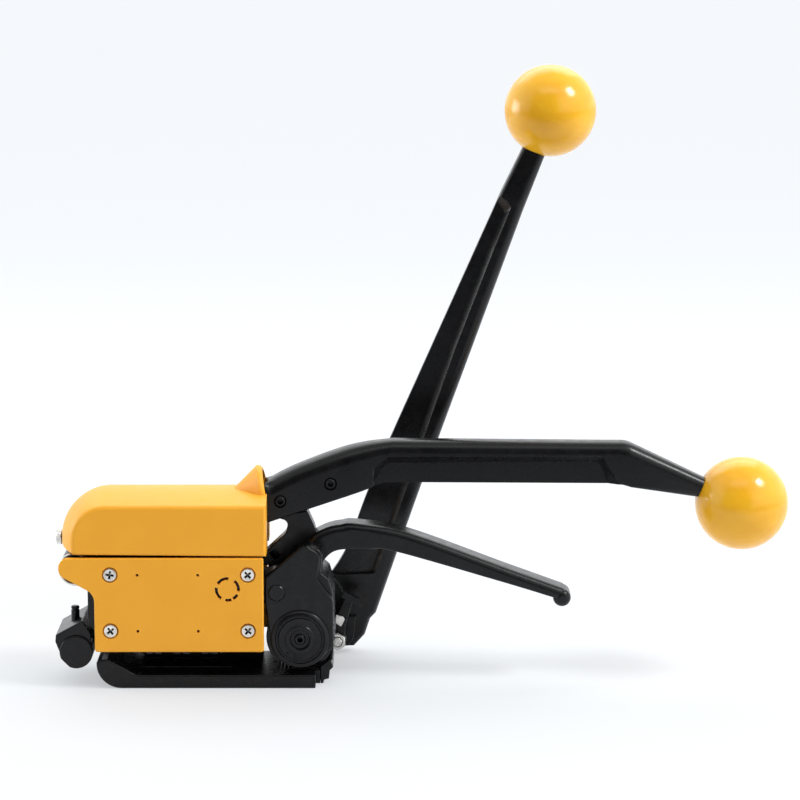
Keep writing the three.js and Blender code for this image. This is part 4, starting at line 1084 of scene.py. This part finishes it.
def build_finger():
    """An upright pin with a groove round its head."""
    box = Box("gate_finger_pin")
    radius, length = box.half_width, box.top - box.bottom
    groove = radius - 0.25
    shank = [(radius - 0.4, 0), (radius, 0.4), (radius, length - 2.2)]
    head = [(groove, length - 1.9), (groove, length - 1.5), (radius, length - 1.2)]
    tip = [(radius, length - 0.5), (radius - 0.5, length)]
    pin = turned(shank + head + tip, 64)
    place(pin, box.middle[0], box.middle_y, box.bottom, turn_about("X", 90))
    dress(pin, "gate_finger", "gate_finger_pin", 0.06)


def build_wheel_shaft():
    """The shaft, stepped at its near end, with a hexagon socket."""
    box = Box("wheel_shaft")
    radius, end_radius, step = box.radius, 2.6, -23.6
    end = [(end_radius - 0.4, box.near), (end_radius, box.near + 0.4), (end_radius, step)]
    body = [(radius - 0.3, step), (radius, step + 0.3), (radius, box.far - 0.8), (radius - 0.8, box.far)]
    shaft = place(turned(end + body), WHEEL_AXIS[0], 0, WHEEL_AXIS[1])
    socket = bar(1.6, box.near - 1, box.near + 5, WHEEL_AXIS, 0, 6)
    dress(cut(shaft, socket), "drive_shaft", "wheel_shaft", 0.08)


def build_hood_bolt():
    """A hexagon head along X with a washer under it."""
    box = Box("hood_bolt")
    head = slab([polar(4, 60 * k + 30) for k in range(6)], 0, 2.2)
    dome = turned([(3.2, -0.2), (4.3, 0.7), (4.3, 3)])
    washer = bar(3.9, 2.1, 2.6, edge=0.15)
    shank = bar(2, 2.5, box.rear - box.front, edge=0.3)
    bolt = unite(combine(head, [dome], "INTERSECT"), washer, shank)
    place(bolt, box.front, 0, box.middle[1], turn_about("Z", -90))
    dress(bolt, "hood_hex_bolt", "hood_bolt", 0.12)


def tube(points, radius):
    """Round wire along a path, with flat ends."""
    sides = 16
    rings = []
    for i, point in enumerate(points):
        ahead = points[min(i + 1, len(points) - 1)] - points[max(i - 1, 0)]
        across = ahead.cross(Vector((0, 1, 0))).normalized() * radius
        upright = across.cross(ahead).normalized() * radius
        rings.append([point + across * a + upright * u for a, u in circle(1, sides=sides)])
    return skin(rings)


def build_spring(node, wire, turns, centre):
    """A coil of round wire about a pivot."""
    box = Box(node)
    radius = box.radius - wire
    near, far = box.near + wire, box.far - wire
    steps = round(turns * 48)
    path = []
    for i in range(steps + 1):
        x, z = polar(radius, 360 * turns * i / steps, centre)
        path.append(Vector((x, near + (far - near) * i / steps, z)))
    dress(tube(path, wire), node + "_coil", node, 0)


# ---- CAD nodes that stay ----


def keep_cad_nodes():
    """Inner parts keep their CAD shape, with welded, softened edges and a real finish."""
    for node, piece in frame["nodes"].items():
        if piece.hide_render:
            continue
        piece.data.materials.clear()
        piece.data.materials.append(LOOKS[NODE_SLOT[node]])
        weld = piece.modifiers.new("weld", "WELD")
        weld.merge_threshold = 0.002 * MM
        flatten = piece.modifiers.new("flatten", "DECIMATE")
        flatten.decimate_type = "DISSOLVE"
        flatten.angle_limit = math.radians(1)
        soften(piece, 0.2)


# ---- Stage, light and camera ----


def seen_and_reflected(look, seen, reflected):
    """One value for what the camera sees and another for what lights and reflects in the tool."""
    ray = look.add("ShaderNodeLightPath").outputs["Is Camera Ray"]
    return look.mix(ray, reflected, seen)


def build_floor():
    """A pale sheet that glows for the camera alone, a painted light that lifts its shadows. Its front part
    reflects as a dim room in the tool's near faces.
    """
    shape = bmesh.new()
    bmesh.ops.create_grid(shape, x_segments=8, y_segments=8, size=30)
    floor = new_object(shape)
    floor.name = "floor"
    just_below = 0.05 * MM
    floor.data.transform(Matrix.Translation((0, 0, cad_box[0].z - just_below)))
    look = Look()
    distance = look.add("ShaderNodeVectorMath", {"operation": "LENGTH"}, Vector=look.place)
    away = look.ramp(distance.outputs["Value"], 0.2, 2.2)
    cloud = look.ramp(look.noise(60, 3), 0.3, 0.7, 0, 0.03)
    pale = look.mix(cloud, look.mix(away, (0.70, 0.715, 0.74), (0.78, 0.8, 0.83)), (1, 1, 1))
    split = look.add("ShaderNodeSeparateXYZ", Vector=look.place)
    ends = look.ramp(split.outputs["Y"], -0.3, -0.75)
    lit = look.mix(cloud, (0.37, 0.378, 0.39), (0.45, 0.45, 0.45))
    look.set("Base Color", seen_and_reflected(look, lit, look.mix(ends, pale, (0.1, 0.1, 0.11))))
    look.set("Roughness", 0.8)
    look.set("Specular IOR Level", 0.1)
    # Painted light: the camera sees the floor glow, which lifts its cast shadows and grows brighter towards the
    # far floor.
    glow = look.mix(away, (0.42, 0.43, 0.44), (0.535, 0.545, 0.56))
    look.set("Emission Color", seen_and_reflected(look, glow, (0, 0, 0)))
    look.set("Emission Strength", 1.0)
    look.material.name = "pale_floor"
    floor.data.materials.append(look.material)


class Sky(Look):
    """The world's nodes, with directions in place of positions."""

    def __init__(self):
        self.world = bpy.data.worlds.new("light_tent")
        self.world.use_nodes = True
        self.tree = self.world.node_tree
        self.surface = self.tree.nodes["Background"]
        self.place = self.add("ShaderNodeTexCoord").outputs["Generated"]


def build_world():
    """A light tent: pale walls all round, a dimmer roof and a dark opening for the camera."""
    sky = Sky()
    split = sky.add("ShaderNodeSeparateXYZ", Vector=sky.place)
    backwards = sky.product(split.outputs["Y"], -1)
    turn = sky.add("ShaderNodeMath", {"operation": "ARCTAN2"})
    sky.feed(turn.inputs[0], split.outputs["X"])
    sky.feed(turn.inputs[1], backwards)
    around = turn.outputs["Value"]
    opening = sky.product(
        sky.ramp(around, math.radians(-66), math.radians(-50)),
        sky.ramp(around, math.radians(26), math.radians(14)),
    )
    opening = sky.product(opening, sky.ramp(split.outputs["Z"], 0.84, 0.68))
    roof = sky.ramp(split.outputs["Z"], 0.5, 0.9)
    wall = sky.mix(roof, (1.34, 1.37, 1.39), (0.78, 0.79, 0.8))
    inside = sky.mix(opening, wall, (0.1, 0.1, 0.11))
    sky.set("Color", seen_and_reflected(sky, (0.94, 0.965, 0.99), inside))
    sky.set("Strength", 1.0)
    bpy.context.scene.world = sky.world


def soft_box(name, place_m, target_m, width, height, power):
    """An area light that faces a target."""
    light = bpy.data.lights.new(name, "AREA")
    light.shape = "RECTANGLE"
    light.size, light.size_y = width, height
    light.energy = power
    lamp = bpy.data.objects.new(name, light)
    lamp.location = place_m
    lamp.rotation_euler = (Vector(target_m) - Vector(place_m)).to_track_quat("-Z", "Y").to_euler()
    bpy.context.scene.collection.objects.link(lamp)


def build_lights():
    """A soft backlight from above, one panel over the front, and a lamp in each side wall."""
    middle = (0.05, 0.0, 0.12)
    soft_box("back_box", (0.0, 0.95, 1.2), middle, 1.6, 0.8, 7)
    soft_box("front_box", (0.0, -0.7, 1.45), middle, 1.1, 0.4, 1.6)
    soft_box("right_box", (1.03, -0.32, 1.2), middle, 0.36, 0.36, 12)
    soft_box("left_box", (-1.6, 0.42, 0.42), middle, 0.8, 0.5, 9)


def build_camera():
    """A long lens level with the tool's upper half, looking slightly down across it."""
    distance, elevation = 1.6, math.radians(9.8)
    target = Vector((0.0497, 0.0, 0.1416))
    camera = bpy.data.cameras.new("camera")
    camera.sensor_width = 36
    camera.lens = 144.4
    camera.clip_end = 100
    view = bpy.data.objects.new("camera", camera)
    back = Vector((0, -math.cos(elevation), math.sin(elevation)))
    view.location = target + back * distance
    view.rotation_euler = (-back).to_track_quat("-Z", "Y").to_euler()
    bpy.context.scene.collection.objects.link(view)
    bpy.context.scene.camera = view


# ---- Build ----

build_covers()
build_hood()
build_sealing_lever()
build_lever_pins()
build_knob("sealing_knob", SEALING_ANGLE, "sealing_ball")
build_knob("tension_knob", TENSION_ANGLE, "tension_ball")
build_rocker()
build_bearing_cap()
build_tension_lever()
build_drive_pawl()
build_pawl_spring()
build_ratchet()
hexagon_nut("pawl_nut", "pawl_hex_nut", PAWL_BORE)
hexagon_nut("shaft_nut", "shaft_hex_nut", SHAFT_BORE)
build_base()
build_base_screws()
build_guide()
build_gate()
build_finger()
for part in ("rocker", "gate", "pawl", "hold_pawl"):
    round_pin(f"{part}_pin", f"{part}_pivot")
build_wheel_shaft()
build_hood_bolt()
build_spring("lever_return_spring", 0.75, 2.2, LEVER_AXIS)
build_spring("rocker_return_spring", 0.6, 2.2, ROCKER_AXIS)
build_spring("gate_spring", 0.5, 2, GATE_AXIS)
keep_cad_nodes()
build_floor()
build_world()
build_lights()
build_camera()
bpy.context.scene.view_settings.view_transform = "Standard"

bpy.context.view_layer.update()
